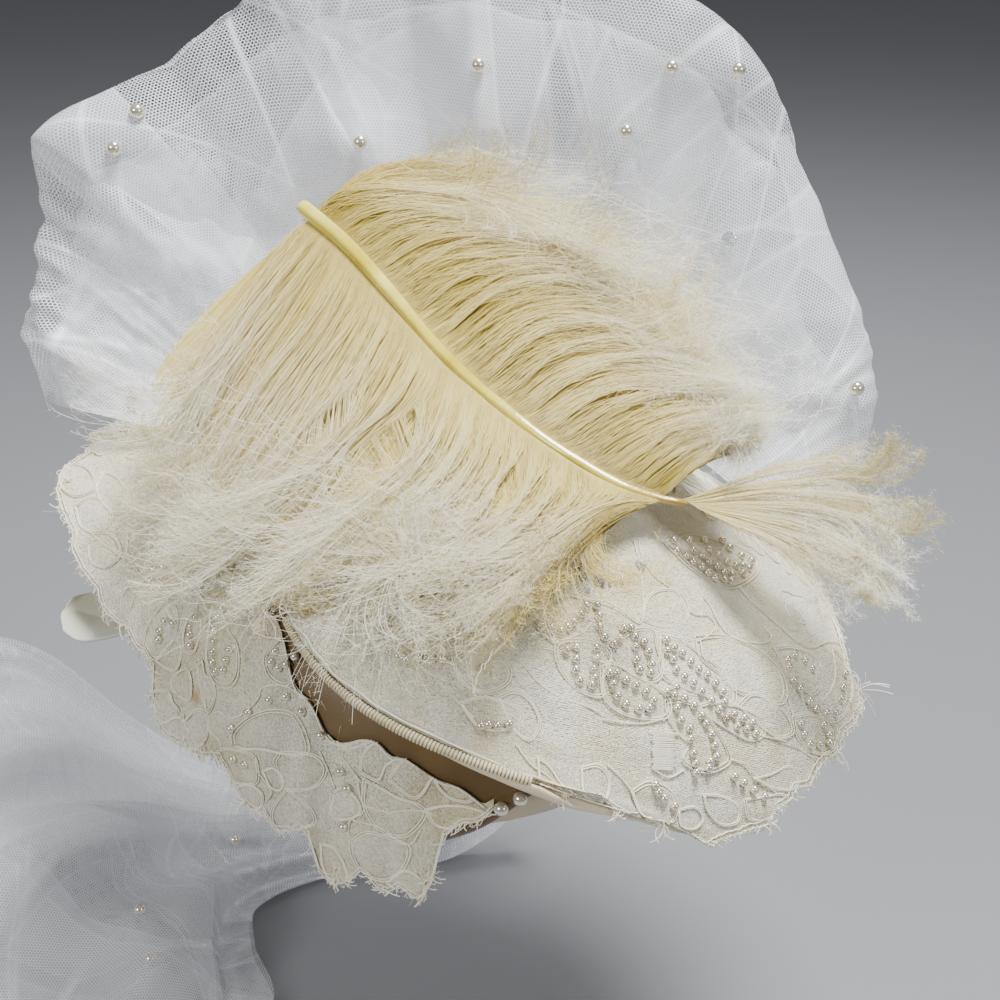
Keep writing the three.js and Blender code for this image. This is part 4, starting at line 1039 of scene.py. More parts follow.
# A white darn in satin stitch on the over lobe, and a crystal with a few bugle beads above it.
# Corners and places are pixels; DARN runs from its upper left corner to its lower right one.
DARN = ((652, 731), (674, 770))
BUGLES = [((597, 583), (599, 566)), ((604, 584), (605, 564)), ((611, 583), (611, 563)), ((617, 582), (618, 564)),
          ((623, 582), (623, 566)), ((589, 590), (592, 578))]
CRYSTALS = [(583, 572), (600, 577), (641, 564)]
STITCH_RADIUS = 0.19
BUGLE_RADIUS = 0.5
SMALL_CRYSTAL_RADIUS = 1.7
GLASS_WHITE = (0.92, 0.93, 0.95, 1)
stitches = []
darn_rng = np.random.default_rng(14)
for row in np.arange(DARN[0][1], DARN[1][1], 1.0):
    left, right = darn_rng.normal(0, 1.3, 2)
    ends = np.linspace((DARN[0][0] + left, row), (DARN[1][0] + right, row + darn_rng.normal(0.3, 0.7)), 7)
    stitches.append(seen_on_brim(ends, OVER_TURNS))
worn(put_mesh("darn", *couched(stitches, STITCH_RADIUS, LACE_LIFT + 0.45), cord_thread), "lace")
glass = finish("clear_bead", Base_Color=GLASS_WHITE, Roughness=0.04, Transmission_Weight=0.7)[0]
bugle_lines = [seen_on_brim(np.linspace(a, b, 5), OVER_TURNS, PEARL_SEAT) for a, b in BUGLES]
glass_beads = joined([
    couched(bugle_lines, BUGLE_RADIUS, PEARL_SEAT - 0.4, sides=7),
    balls(seen_places(CRYSTALS, OVER_TURNS, PEARL_SEAT), SMALL_CRYSTAL_RADIUS, rings=4, sides=7)])
worn(put_mesh("lace_crystals", *glass_beads, glass), "crystal")

# Pearls strung behind the free edge: small ones look out from under the braid, and two larger
# ones hang at the front, where the brim's inner end comes out.
EDGE_PEARLS = [(318, 634), (334, 653), (353, 669), (372, 685), (391, 697)]
FRONT_PEARLS = [(501, 809), (520, 799)]
FRONT_TURNS = (-40.0, 20.0)
EDGE_PEARL_RADIUS = 1.3
FRONT_PEARL_RADIUS = 2.0
worn(put_mesh("edge_pearls", *joined([
    balls(seen_places(EDGE_PEARLS, UNDER_TURNS, PEARL_SEAT), EDGE_PEARL_RADIUS),
    balls(seen_places(FRONT_PEARLS, FRONT_TURNS, PEARL_SEAT), FRONT_PEARL_RADIUS)]), pearl_lustre), "pearl")


# Satin petal: a single cut petal of white satin whose tip looks out from under the brim at the
# left. It is stiffened, and two sharp folds cross it.
PETAL_ROWS = np.array([
    [(-88, -18, 24), (-92, -12, 24), (-92, -4, 25)], [(-100, -24, 22), (-103, -14, 24), (-102, -3, 26)],
    [(-111, -25, 21), (-114, -15, 25), (-112, -6, 27)], [(-116, -21, 22), (-119, -15, 25), (-117, -10, 27)]], float)
PETAL_WALL = 1.0
WHITE_SATIN = (0.90, 0.90, 0.84, 1)
CREAM_SATIN = (0.66, 0.68, 0.48, 1)


def loft(rows, u, v):
    """Smooth surface through rows of points: a curve runs down each column of the table to the
    share u, and another runs across those points to the share v."""
    rails = np.stack([through(rows[:, k], u) for k in range(rows.shape[1])])
    ends, i, f = spans(rails, v)
    return smooth(*(np.take_along_axis(ends, (i + k)[None, ..., None], axis=0)[0] for k in range(4)), f[..., None])


def grid_normals(points):
    """Unit vectors square to a grid of points."""
    return unit(np.cross(np.gradient(points, axis=0), np.gradient(points, axis=1)))


petal_u, petal_v = shares(60, 48)
petal_face = loft(PETAL_ROWS, petal_u, petal_v)
petal_bend = np.abs(petal_v - 0.42 - 0.3 * petal_u) * 5.0 + np.abs(petal_u - 0.62 + 0.3 * petal_v) * 3.0
petal_face = petal_face - grid_normals(petal_face) * (petal_bend - petal_bend.mean())[..., None]
petal = put_mesh("white_petal", *closed_wall(petal_face, petal_face + grid_normals(petal_face) * PETAL_WALL),
                 satin_finish("white_satin", WHITE_SATIN, CREAM_SATIN))
worn(petal, "white_satin", "satin_petal")


# Quill: the long horn shaft of an ostrich feather, pale yellow and glossy. It is sewn down over
# the dome with its thick end at the back and its brown tip at the front right.
QUILL_POINTS = np.array([
    (-48.3, 62, 134.4), (-32.3, 45, 126.3), (-17, 25, 116.2), (-4.1, 8, 106.4), (8.2, -8, 99.5), (17, -18, 95.6),
    (28.3, -28, 90), (39.4, -35, 85), (50.4, -40, 80.4), (61.6, -42, 77), (70, -42.5, 75.7)], float)
QUILL_BUTT_RADIUS = 2.7
QUILL_TIP_RADIUS = 1.1
QUILL_YELLOW = (0.62, 0.48, 0.03, 1)
QUILL_PALE = (0.86, 0.75, 0.16, 1)
QUILL_AMBER = (0.36, 0.20, 0.05, 1)
QUILL_LINE = evenly(through(QUILL_POINTS, np.linspace(0, 1, 500)), 0.8)


def quill_at(share):
    """Point on the quill's middle line at a share of its length."""
    place = np.asarray(share, float) * (len(QUILL_LINE) - 1)
    return np.stack([np.interp(place, np.arange(len(QUILL_LINE)), QUILL_LINE[:, k]) for k in range(3)], axis=-1)


def quill_shaft(steps=150, sides=20):
    """Tapered tube with a shallow groove along its upper side, rounded off at both ends."""
    share = np.linspace(0, 1, steps)
    path = quill_at(share)
    ahead = unit(np.gradient(path, axis=0))
    up = unit(np.array([-0.1, -0.5, 1.0]) - ahead * (ahead @ np.array([-0.1, -0.5, 1.0]))[:, None])
    side = np.cross(ahead, up)
    radius = QUILL_BUTT_RADIUS + (QUILL_TIP_RADIUS - QUILL_BUTT_RADIUS) * share
    radius = radius * np.sqrt(np.clip(share / 0.008, 0.05, 1)) * np.sqrt(np.clip((1 - share) / 0.02, 0.02, 1))
    turn = np.linspace(0, 2 * math.pi, sides, endpoint=False)
    groove = 1 - 0.14 * np.exp(-((turn - math.pi / 2) / 0.3) ** 2)
    return *ring_tube(path, side, up, radius, sides, groove), {"along": np.repeat(share, sides)}


def quill_finish():
    """Horn: glossy under a clear coat, paler where light passes, with fine lengthwise streaks."""
    material, tree, shader = finish("quill_horn", Roughness=0.15, Coat_Weight=0.8, Coat_Roughness=0.06)
    place = place_in(tree)
    along = attribute(tree, "along")
    cloudy = remap(tree, noise(tree, place, 70, 3), 0.35, 0.7)
    body = blend_colour(tree, cloudy, QUILL_YELLOW, QUILL_PALE)
    colour = blend_colour(tree, remap(tree, along, 0.86, 1.0), body, QUILL_AMBER)
    tree.links.new(colour, shader.inputs["Base Color"])
    relief(tree, shader, noise(tree, place, 500, 2), 0.00012)
    return material


quill_points, quill_faces, quill_fields = quill_shaft()
quill = put_mesh("quill_shaft", quill_points, quill_faces, quill_finish(), quill_fields)
worn(quill, "quill", "quill")


# Plume: the two vanes of the feather and the loose bundle at its tip. Each barb is a soft strand
# set with fine barbules. Near the quill the barbs lie close like silk; further out they fluff
# up, gather into wisps and curl over at their ends.
NEAR_ROWS = (
    (0.03, (-81.7, 35, 103.9), (-100.8, 10, 79.7)), (0.17, (-66, 15, 98), (-95, -12, 69)),
    (0.34, (-51, -8, 92.5), (-84, -33, 60)), (0.48, (-29, -40, 86), (-62, -68, 55)),
    (0.60, (-7, -60, 84), (-28, -93, 61)), (0.73, (12, -74, 77), (0, -105, 63)),
    (0.85, (29, -75, 74), (17, -109, 66)), (0.96, (44, -66, 78.6), (24, -99, 73)))
FAR_ROWS = (
    (0.03, (-22.7, 72, 146.3), (23.7, 78, 148.6)), (0.20, (2, 66, 135), (63.3, 70, 137.5)),
    (0.38, (25, 48, 123.5), (94.9, 50, 116)), (0.55, (42, 30, 113), (113, 35, 100.6)),
    (0.70, (59.2, 5, 99), (122, 15, 94.3)), (0.84, (71.8, -18, 89.5), (115.6, -5, 85.7)),
    (0.95, (78, -32, 83.5), (96, -22, 85.5)))
TIP_ROWS = (
    (0.975, (100, -24, 79), (130, -12, 83)), (0.985, (112, -31, 71), (153, -29, 58)),
    (0.995, (108, -43, 62), (136, -45, 45)), (1.0, (94, -50, 62), (118, -52, 49)))
VANE_GAP = 1.5
LOCK_REACH = 0.10
ROOT_DIP = 1.6
BARB_WIDTH = 0.18
BARB_TAPER = 0.11
BARB_CLEARANCE = 1.2
BARB_CREAM = (0.72, 0.59, 0.20, 1)
BARB_WHITE = (0.84, 0.83, 0.73, 1)
BARB_YELLOW = (0.60, 0.45, 0.04, 1)
BARB_OLIVE = (0.32, 0.23, 0.015, 1)
BARB_DULL = (0.56, 0.46, 0.20, 1)


def clear_of_crown(points, clearance):
    """Pushes points straight out from the origin until they clear the dome by a distance."""
    flat = np.hypot(points[..., 0] / (CROWN_HALF_WIDTH + clearance),
                    points[..., 1] / (CROWN_HALF_DEPTH + clearance))
    high = np.maximum(points[..., 2], 0) / (CROWN_HEIGHT + clearance)
    depth = (flat ** CROWN_POWER + high ** CROWN_POWER) ** (1 / CROWN_POWER)
    return points / np.minimum(depth, 1)[..., None]


def vane_rows(rows):
    """Rows of root, middle and tip; the root lies just off the quill's side."""
    made = []
    for share, middle, tip in rows:
        seat = quill_at(share)
        away = unit(np.array(middle, float) - seat)
        made.append([seat + away * VANE_GAP, middle, tip])
    return np.array(made, float)


def brim_heights(clearance, cell=2.0, half=220.0):
    """Height of the lace over each cell of a level grid, the highest place in and around it."""
    turn, across = np.meshgrid(np.arange(-45, 347, 0.5), np.arange(0.0, 1.12, 0.01), indexing="ij")
    points = on_brim(turn, across, LACE_LIFT + clearance).reshape(-1, 3)
    size = int(2 * half / cell)
    heights = np.full((size, size), -1000.0)
    i, j = ((points[:, :2] + half) / cell).astype(int).T
    np.maximum.at(heights, (i, j), points[:, 2])
    for axis in (0, 1):
        heights = np.maximum(heights, np.maximum(np.roll(heights, 1, axis), np.roll(heights, -1, axis)))
    return lambda points: heights[tuple(np.moveaxis(((points[..., :2] + half) / cell).astype(int), -1, 0))]


brim_height = brim_heights(BARB_CLEARANCE)


def vane_place(rows, u, v):
    """Point on the vane at a share u along the quill and v along the barb, and the way out. Past
    the barb's end the vane runs straight on."""
    at = lambda u, v: clear_of_crown(loft(rows, u, v), 1.6 + 6 * v)
    inner = np.minimum(v, 1.0)
    point = at(u, inner) + (at(u, inner) - at(u, inner - 0.05)) * (np.maximum(v - 1, 0) / 0.05)[..., None]
    down = at(u, inner) - at(u, np.maximum(inner - 0.01, -0.01))
    out = unit(np.cross(at(u + 0.01, inner) - at(u - 0.01, inner), down))
    return point, out * np.sign(np.sum(out * point, axis=-1, keepdims=True))


def wavering(way, count, rng, low=4.0, high=8.0):
    """A slow irregular wave along each of many strands: three sines of random phase."""
    wave = np.zeros((count, way.shape[-1]))
    for scale in (1.0, 2.1, 4.3):
        wave += np.sin(way * scale * rng.uniform(low, high, (count, 1)) + rng.uniform(0, 6.28, (count, 1))) / scale
    return wave


def barb_paths(rows, rng, steps, barbs, comb, wisps, locks, thickness, reach, flow, bow, curl, folded, gaps):
    """Middle lines of the barbs. Every barb belongs to a wisp, which has a height, a wave, a
    length and a curl of its own, and the barbs of the upper layers close up on it towards
    their tips. reach is how far they go at the quill's thick end and beyond it; flow, the share
    of the quill that they bend towards, how far and how late; bow, how far they sag along the
    quill on their way. The curl turns each step of the line a little further than the one
    before. A folded barb is one of the top layer that turns right back. Each gap is a place
    where the upper layers part, with its half widths. All of them lie clear of dome and lace."""
    table = vane_rows(rows)
    root = np.sort(rng.uniform(0, 1, barbs))[:, None]
    way = (1 - (1 - np.linspace(0, 1, steps)) ** 1.5)[None, :]
    bounds = np.sort(np.concatenate([[0, 1], (np.arange(1, wisps) + rng.uniform(-0.45, 0.45, wisps - 1)) / wisps]))
    mine = np.clip(np.searchsorted(bounds, root[:, 0]) - 1, 0, wisps - 1)
    middle = ((bounds[:-1] + bounds[1:]) / 2)[mine][:, None]
    lock = (np.floor(root * locks) + 0.5) / locks
    own = lambda low, high: rng.uniform(low, high, wisps)[mine][:, None]
    goal, pull, bend = flow
    layer = np.clip(own(0.1, 0.9) + rng.normal(0, 0.22, (barbs, 1)), 0, 1)
    back = (rng.uniform(0, 1, (barbs, 1)) < folded) * 1.0
    layer = np.where(back > 0, 1.0, layer)
    scallop = 1 - LOCK_REACH * (1 - np.abs(np.sin(math.pi * locks * root)))
    far = own(0.84, 1.0) * rng.uniform(0.84, 1.0, (barbs, 1)) * scallop
    far = far * (reach[0] + (reach[1] - reach[0]) * np.clip((root - 0.3) / 0.3, 0, 1))
    far = far * np.where(back > 0, rng.uniform(0.62, 0.92, (barbs, 1)), 1.0)
    lean = (lock - root) * own(0.0, 0.4)
    lean = lean + (middle - root) * rng.uniform(0.1, 0.7, (barbs, 1)) * layer + own(-0.018, 0.018)
    drift = (goal - root) * pull * np.clip(1.9 * layer - 0.35, 0, 1) * own(0.7, 1.2)
    u = root + drift * way ** bend + lean * way ** 2.4 + 0.004 * wavering(way, barbs, rng)
    u = u + bow * 4 * way * (1 - way) * np.clip(np.minimum((1 - root) / 0.18, root / 0.14), 0, 1) * own(0.75, 1.2)
    u = np.clip(1 - np.abs(1 - np.abs(u)), 0.0, 1.0)
    v = way * far
    for gap_u, gap_v, wide, long in gaps:
        apart = wide * np.exp(-((u - gap_u) / (1.3 * wide)) ** 2 - ((v - gap_v) / long) ** 2)
        u = u + np.where(u > gap_u, apart, -apart) * np.clip(4 * layer - 0.8, 0, 1)
    point, out = vane_place(table, u, np.clip(v, 0, None))
    height = thickness * np.sin(math.pi * 0.86 * np.minimum(v, 1.0)) * layer ** 0.8
    height = 0.2 + height - ROOT_DIP * np.exp(-v / 0.07)
    point = point + out * height[..., None]
    loose = np.clip((way - comb) / (1 - comb), 0, 1)
    side = unit(np.cross(unit(np.gradient(point, axis=1)), out))
    sway = wavering(way, wisps, rng)[mine] * 1.6 + wavering(way, barbs, rng, 5.0, 12.0) * 0.55
    heave = wavering(way, wisps, rng)[mine] * 0.9
    point = point + side * (sway * loose)[..., None] + out * (heave * loose)[..., None]
    begin = np.where(back > 0, 0.55, own(0.50, 0.88) + rng.normal(0, 0.04, (barbs, 1)))
    total = np.where(back > 0, rng.uniform(2.0, 3.2, (barbs, 1)), own(-1, 1) * 5.0 + rng.normal(0, 1.0, (barbs, 1)))
    turn = total * np.clip((way - begin) / (1 - begin), 0, 1) ** 1.3 * curl
    tilt = np.where(back > 0, rng.normal(math.pi / 2, 0.35, (barbs, 1)), own(-1.3, 1.3))
    step = np.diff(point, axis=1)
    ahead = unit(step)
    sweep = unit(np.cross(ahead, out[:, 1:])) * np.cos(tilt)[..., None] + out[:, 1:] * np.sin(tilt)[..., None]
    turned = ahead * np.cos(turn[:, 1:])[..., None] + sweep * np.sin(turn[:, 1:])[..., None]
    run = np.cumsum(turned * np.linalg.norm(step, axis=-1)[..., None], axis=1)
    point = np.concatenate([point[:, :1], point[:, :1] + run], axis=1)
    point = clear_of_crown(point, 2.0)
    point[..., 2] = np.maximum(point[..., 2], brim_height(point) + 0.7 * layer)
    return point, out, way, v, np.clip(layer + 0.5 * back, 0, 1)


def vane(name, node, rows, material, seed, barbs, barbules, comb, fluff, steps, **growth):
    """One vane: barbs as ribbons and barbules as thin triangles that lean towards the barb's tip;
    further out about half of the barbules come loose and lie tangled round their barb.
    comb: share of the barb that stays straight and sleek; fluff: length of a barbule there."""
    rng = np.random.default_rng(seed)
    point, out, way, v, layer = barb_paths(rows, rng, steps, barbs, comb, **growth)
    ahead = unit(np.gradient(point, axis=1))
    side = unit(np.cross(ahead, out))
    strands, quads = ribbons(point, side, BARB_WIDTH + (BARB_TAPER - BARB_WIDTH) * way + 0 * v)
    pick = rng.integers(0, barbs, barbules)
    spot = rng.uniform(0.0, 1.0, barbules) ** 0.75 * 0.999
    place = spot * (steps - 1)
    i = np.minimum(place.astype(int), steps - 2)
    f = (place - i)[:, None]
    grid = lambda values: values[pick, i] * (1 - f) + values[pick, i + 1] * f
    seat, forward, sideways, rise = grid(point), unit(grid(ahead)), unit(grid(side)), unit(grid(out))
    free = np.clip((way[0, i] - comb * 0.7) / (1 - comb * 0.7), 0, 1)
    scatter = rng.normal(0, 1.0, (2, barbules, 1)) * (free * rng.choice([0.25, 1.3], barbules))[:, None]
    seat = seat + sideways * scatter[0] * 1.4 + rise * scatter[1] * 0.9
    length = (0.8 + (fluff - 0.8) * free ** 0.8) * rng.uniform(0.3, 1.2, barbules)
    spread = (0.15 + 0.8 * free) * rng.choice([-1.0, 1.0], barbules) * rng.uniform(0.3, 1.5, barbules)
    tip = forward + sideways * spread[:, None] + rise * (rng.normal(0.15, 0.7, barbules) * (0.2 + free))[:, None]
    end = seat + unit(tip) * length[:, None]
    base = unit(np.cross(unit(tip), rise + 0.3 * sideways)) * 0.06
    spikes = np.stack([seat - base, seat + base, end], axis=1).reshape(-1, 3)
    triangles = np.arange(len(spikes)).reshape(-1, 3) + len(strands)
    dull = np.clip(rng.normal(0.35, 0.35, (barbs, 1)), 0, 1)
    fields = {}
    for field, values in (("along", v), ("layer", layer + 0 * v), ("dull", dull + 0 * v)):
        fields[field] = np.concatenate([np.repeat(values.ravel(), 2), np.repeat(values[pick, i], 3)])
    worn(put_mesh(name, np.concatenate([strands, spikes]), [quads, triangles], material, fields), "plume", node)


def barb_finish(name, depth, reach):
    """Down: matt, white in the top layer and cream below, and yellow towards the quill. The white of
    the upper layers and the yellow patches of the lower ones are painted light and shade, for the
    lit top of the plume and its shaded depth; the yellow towards the quill is partly the down's own
    tint and partly painted shade, and it darkens to olive at the root as painted shade. depth is
    how yellow it gets there, reach the share of the barb by which that has died away."""
    material, tree, shader = finish(name, Roughness=0.5, Sheen_Weight=0.25, Sheen_Roughness=0.5,
                                    Specular_IOR_Level=0.35)
    place = place_in(tree)
    along = attribute(tree, "along")
    layer = attribute(tree, "layer")
    # Painted light and shade by layer: the top layer keeps less of the yellow, the lower layers take yellow
    # patches, and the upper layers whiten outwards, for the lit top and the shaded depth.
    top = remap(tree, layer, 0.55, 0.95, 1.0, 0.65)
    near_root = number(tree, "MULTIPLY", remap(tree, along, 0.3 * reach, reach, depth, 0.0), top)
    patches = remap(tree, noise(tree, place, 26, 3), 0.44, 0.62, 0.0, 1.0)
    low = remap(tree, layer, 0.1, 0.7, 0.75, 0.0)
    white = remap(tree, number(tree, "MULTIPLY", layer, along), 0.05, 0.65)
    tips = blend_colour(tree, white, BARB_CREAM, BARB_WHITE)
    low = number(tree, "MULTIPLY", low, remap(tree, along, 0.45, 0.9, 1.0, 0.1))
    yellow = number(tree, "MAXIMUM", near_root, number(tree, "MULTIPLY", patches, low))
    dull = attribute(tree, "dull")
    tips = blend_colour(tree, number(tree, "MULTIPLY", dull, 0.45), tips, BARB_DULL)
    # Painted shade: the yellow darkens to olive towards the root.
    shade = blend_colour(tree, remap(tree, along, 0.0, 0.55 * reach, depth, 0.0), BARB_YELLOW, BARB_OLIVE)
    tree.links.new(blend_colour(tree, yellow, tips, shade), shader.inputs["Base Color"])
    return material


def vane_backing(name, rows, reach, material, seed, steps=(360, 13)):
    """The lowest barbs, packed so close that they make a soft ribbed sheet with a ragged edge."""
    rng = np.random.default_rng(seed)
    u, v = shares(*steps)
    u = 0.012 + 0.976 * u
    ragged = reach * rng.uniform(0.80, 1.0, (steps[0], 1))
    v = v * ragged
    point, out = vane_place(vane_rows(rows), u, v)
    ribs = 0.10 * wavering(u[:, 0], 1, rng, 150, 210).T + 0.3 * wavering(u[:, 0], 1, rng, 40, 60).T * v
    points = point + out * (-0.1 + ribs)[..., None]
    # Low layer values, so the backing takes the material's painted shade of the depth.
    fields = {"along": 0.22 + 0.6 * v.ravel(), "layer": np.repeat(rng.uniform(0.0, 0.35, steps[0]), steps[1])}
    worn(put_mesh(name, points.reshape(-1, 3), grid_faces(*steps), material, fields), "plume")


# Places where the near vane parts and its under layer shows, yellow with painted shade: pixel,
# and in shares the half width along the quill and the half length along the barbs
NEAR_GAPS = [
    ((385, 462), 0.035, 0.16), ((340, 425), 0.012, 0.08), ((318, 447), 0.012, 0.09), ((300, 500), 0.010, 0.06),
    ((305, 520), 0.008, 0.04), ((505, 500), 0.018, 0.10), ((440, 545), 0.016, 0.08), ((425, 625), 0.03, 0.07),
    ((360, 545), 0.014, 0.06)]


def vane_gaps(rows, seen):
    """Gaps as shares of the vane, each from the place of a grid that shows nearest its pixel."""
    u, v = shares(80, 60)
    pixels = pixel_of(vane_place(vane_rows(rows), u, 1.1 * v)[0])
    gaps = []
    for pixel, wide, long in seen:
        nearest = np.argmin(((pixels - pixel) ** 2).sum(axis=-1))
        gaps.append((u.ravel()[nearest], 1.1 * v.ravel()[nearest], wide, long))
    return gaps


def web(name, rows, count, low, high, seed, steps=13):
    """Loose flues that cling over the vane's outer half: thin white threads, each a slow random
    curve that starts anywhere and lies on top of the barbs."""
    rng = np.random.default_rng(seed)
    way = np.linspace(0, 1, steps)[None, :]
    own = lambda least, most: rng.uniform(least, most, (count, 1))
    heading, bend, length = own(0, 2 * math.pi), rng.normal(0, 1.6, (count, 1)), own(0.05, 0.22)
    angle = heading + bend * way + 0.5 * wavering(way, count, rng)
    step = length / steps
    u = own(0.02, 0.98) + np.cumsum(step * 0.55 * np.cos(angle), axis=1)
    v = low + (high - low) * own(0, 1) ** 0.8 + np.cumsum(step * np.sin(angle), axis=1)
    point, out = vane_place(vane_rows(rows), np.clip(u, 0, 1), np.clip(v, 0.05, 1.3))
    lift = own(1.0, 5.5) + 1.2 * wavering(way, count, rng) * 0.6
    point = clear_of_crown(point + out * lift[..., None], 2.0)
    point[..., 2] = np.maximum(point[..., 2], brim_height(point) + 0.5)
    side = unit(np.cross(unit(np.gradient(point, axis=1)), out))
    fine = 0.13 * np.minimum(1, 4 * np.minimum(way, 1 - way) + 0.2)
    strands, quads = ribbons(point, side, fine + 0 * v)
    ends = np.full(len(strands), 1.0)
    worn(put_mesh(name, strands, quads, near_down, {"along": ends, "layer": ends, "dull": 0 * ends}), "plume")


near_down = barb_finish("near_down", 0.45, 0.8)
far_down = barb_finish("far_down", 1.0, 0.68)
tip_down = barb_finish("tip_down", 0.15, 0.4)
vane("plume_near", "plume_vane_near", NEAR_ROWS, near_down, 21, barbs=2600, barbules=100000, comb=0.12,
     fluff=4.0, steps=16, wisps=120, locks=8, thickness=5.5, reach=(1.18, 1.04), flow=(0.44, 0.62, 1.3),
     bow=0.085, curl=0.5, folded=0.02, gaps=vane_gaps(NEAR_ROWS, NEAR_GAPS))
vane("plume_far", "plume_vane_far", FAR_ROWS, far_down, 22, barbs=2500, barbules=98000, comb=0.34,
     fluff=3.4, steps=16, wisps=120, locks=9, thickness=6.0, reach=(0.88, 0.88), flow=(1.0, 0.42, 2.0),
     bow=0.0, curl=0.38, folded=0.03, gaps=())
vane("plume_tip_barbs", "plume_tip", TIP_ROWS, tip_down, 23, barbs=240, barbules=34000, comb=0.15,
     fluff=2.6, steps=17, wisps=18, locks=4, thickness=5.0, reach=(1.09, 1.09), flow=(0.5, 0.0, 1.0),
     bow=0.0, curl=0.9, folded=0.0, gaps=())
web("plume_near_web", NEAR_ROWS, count=900, low=0.45, high=0.98, seed=26)
web("plume_far_web", FAR_ROWS, count=350, low=0.55, high=0.92, seed=27)
vane_backing("plume_near_backing", NEAR_ROWS, 0.84, near_down, seed=24)
vane_backing("plume_far_backing", FAR_ROWS, 0.76, far_down, seed=25)


# Tulle: fine white nylon net. The pouf is gathered round the back of the crown, stands up as a
# fan and rolls over to a second gather behind; a second layer fills it. The puff is a lower
# roll over the back of the dome, which the plume lies on.
POUF_ROWS = (
    (113, (-140, 60, 68)), (123, (-147, 74, 94)), (132, (-141, 84, 128)), (141, (-124, 95, 160)),
    (151, (-88, 112, 189)), (165, (-42, 120, 206)), (180, (4, 122, 212)), (195, (48, 121, 206)),
    (209, (88, 118, 190)), (219, (114, 104, 165)), (228, (128, 90, 136)), (238, (138, 74, 100)),
    (247, (144, 58, 74)), (255, (137, 36, 34)))
POUF_FRONT_BELLY = (0, -10, 4)
POUF_BACK_BELLY = (0, 44, 0)
POUF_SEAM_REACH = 95.0
POUF_SEAM_DEPTH = 15.0
SEAM_HEIGHT = 7.0
PUFF_ROWS = np.array([
    [(-74, 16, 67), (-86, 30, 82), (-79, 38, 70)], [(-58, 16, 75), (-64, 38, 98), (-64, 60, 72)],
    [(-30, 18, 88), (-31, 50, 110), (-33, 76, 68)], [(4, 18, 92), (4, 55, 117), (2, 83, 67)],
    [(36, 18, 87), (37, 50, 105), (36, 75, 66)], [(61, 13, 74), (70, 36, 91), (65, 57, 69)],
    [(75, 6, 67), (88, 22, 78), (81, 34, 68)]], float)
NET_PITCH = 1.3
NET_THREAD = 0.22
FOLD_PANES = ((0.25, (42.0, 160.0, 1.0), 1.0), (-0.7, (60.0, 150.0, 1.0), 0.8), (1.2, (48.0, 130.0, 1.0), 0.7))
NET_WHITE = (0.88, 0.90, 0.94, 1)


def seam_on_brim(turn, reach):
    """Point over the brim at a turn and a distance from the middle line."""
    across = np.linspace(0, 1, 200)
    slope = brim_point(np.full(200, turn), across)
    found = float(np.interp(reach, np.hypot(slope[:, 0], slope[:, 1]), across))
    return on_brim(turn, found, SEAM_HEIGHT)


def pouf_table():
    """Rows of front seam, front belly, top, back belly and back seam."""
    rows = []
    for turn, top in POUF_ROWS:
        front = seam_on_brim(turn, POUF_SEAM_REACH)
        back, top = seam_on_brim(turn, POUF_SEAM_REACH + POUF_SEAM_DEPTH), np.array(top)
        rows.append([front, front + (top - front) * 0.5 + POUF_FRONT_BELLY, top,
                     back + (top - back) * 0.52 + POUF_BACK_BELLY, back])
    return np.array(rows, float)


def crisp(angle):
    """Wave with sharp crests, as a fold in stiff net has: between a triangle and a sine."""
    return 0.65 * np.arcsin(np.sin(angle)) * 2 / math.pi + 0.35 * np.sin(angle)


FACET_RUNS = ((0.15, 0.09, 1.5), (0.75, 0.08, 1.2), (-0.65, 0.09, 1.2), (1.25, 0.10, 0.8), (-1.1, 0.05, 0.5))


def facets(u, v, seed):
    """Angular folds, as stiff net takes them: along each of a few directions the height runs
    straight from one random knot to the next, so the sheet breaks into flat facets. A run is
    its angle, its mean knot spacing in widths of the sheet and its height."""
    rng = np.random.default_rng(seed)
    height = np.zeros_like(u)
    for angle, spacing, size in FACET_RUNS:
        way = u * math.cos(angle) + 0.5 * v * math.sin(angle)
        knots = -1.5 + np.cumsum(rng.uniform(0.4, 1.6, int(4 / spacing)) * spacing)
        ups = rng.uniform(0.3, 1.0, len(knots)) * np.where(np.arange(len(knots)) % 2, 1, -1)
        strong = 0.5 + 0.5 * np.sin(rng.uniform(4, 9) * u + rng.uniform(4, 8) * v + rng.uniform(0, 6))
        height += size * strong * np.interp(way, knots, ups)
    return height


def net_folds(u, v, pleats, depth, seed):
    """Height of the folds: uneven gathers that die away from the seams, and facets that cross
    them."""
    rng = np.random.default_rng(seed)
    ends = np.clip(np.minimum(u, 1 - u) / 0.08, 0.15, 1)
    fade = np.sin(math.pi * np.clip(v, 0, 1)) ** 0.6 * ends
    bent = u + 0.022 * np.sin(14 * u + rng.uniform(0, 6)) + 0.012 * np.sin(31 * u + 4 * v + rng.uniform(0, 6))
    uneven = 0.55 + 0.45 * np.sin(9 * u + rng.uniform(0, 6)) * np.sin(4 * v + 5 * u + rng.uniform(0, 6))
    total = np.zeros_like(u)
    for scale, share, hold in ((1.0, 0.4, 0.0), (2.3, 0.18, 0.2), (4.7, 0.11, 0.9)):
        wander = 1.4 * np.sin(3 * v + rng.uniform(0, 6))
        total += share * (hold + (1 - hold) * fade) * crisp(2 * math.pi * pleats * scale * bent + wander)
    return depth * (ends * total * uneven + fade * (facets(u, v, seed + 100) - 0.4))


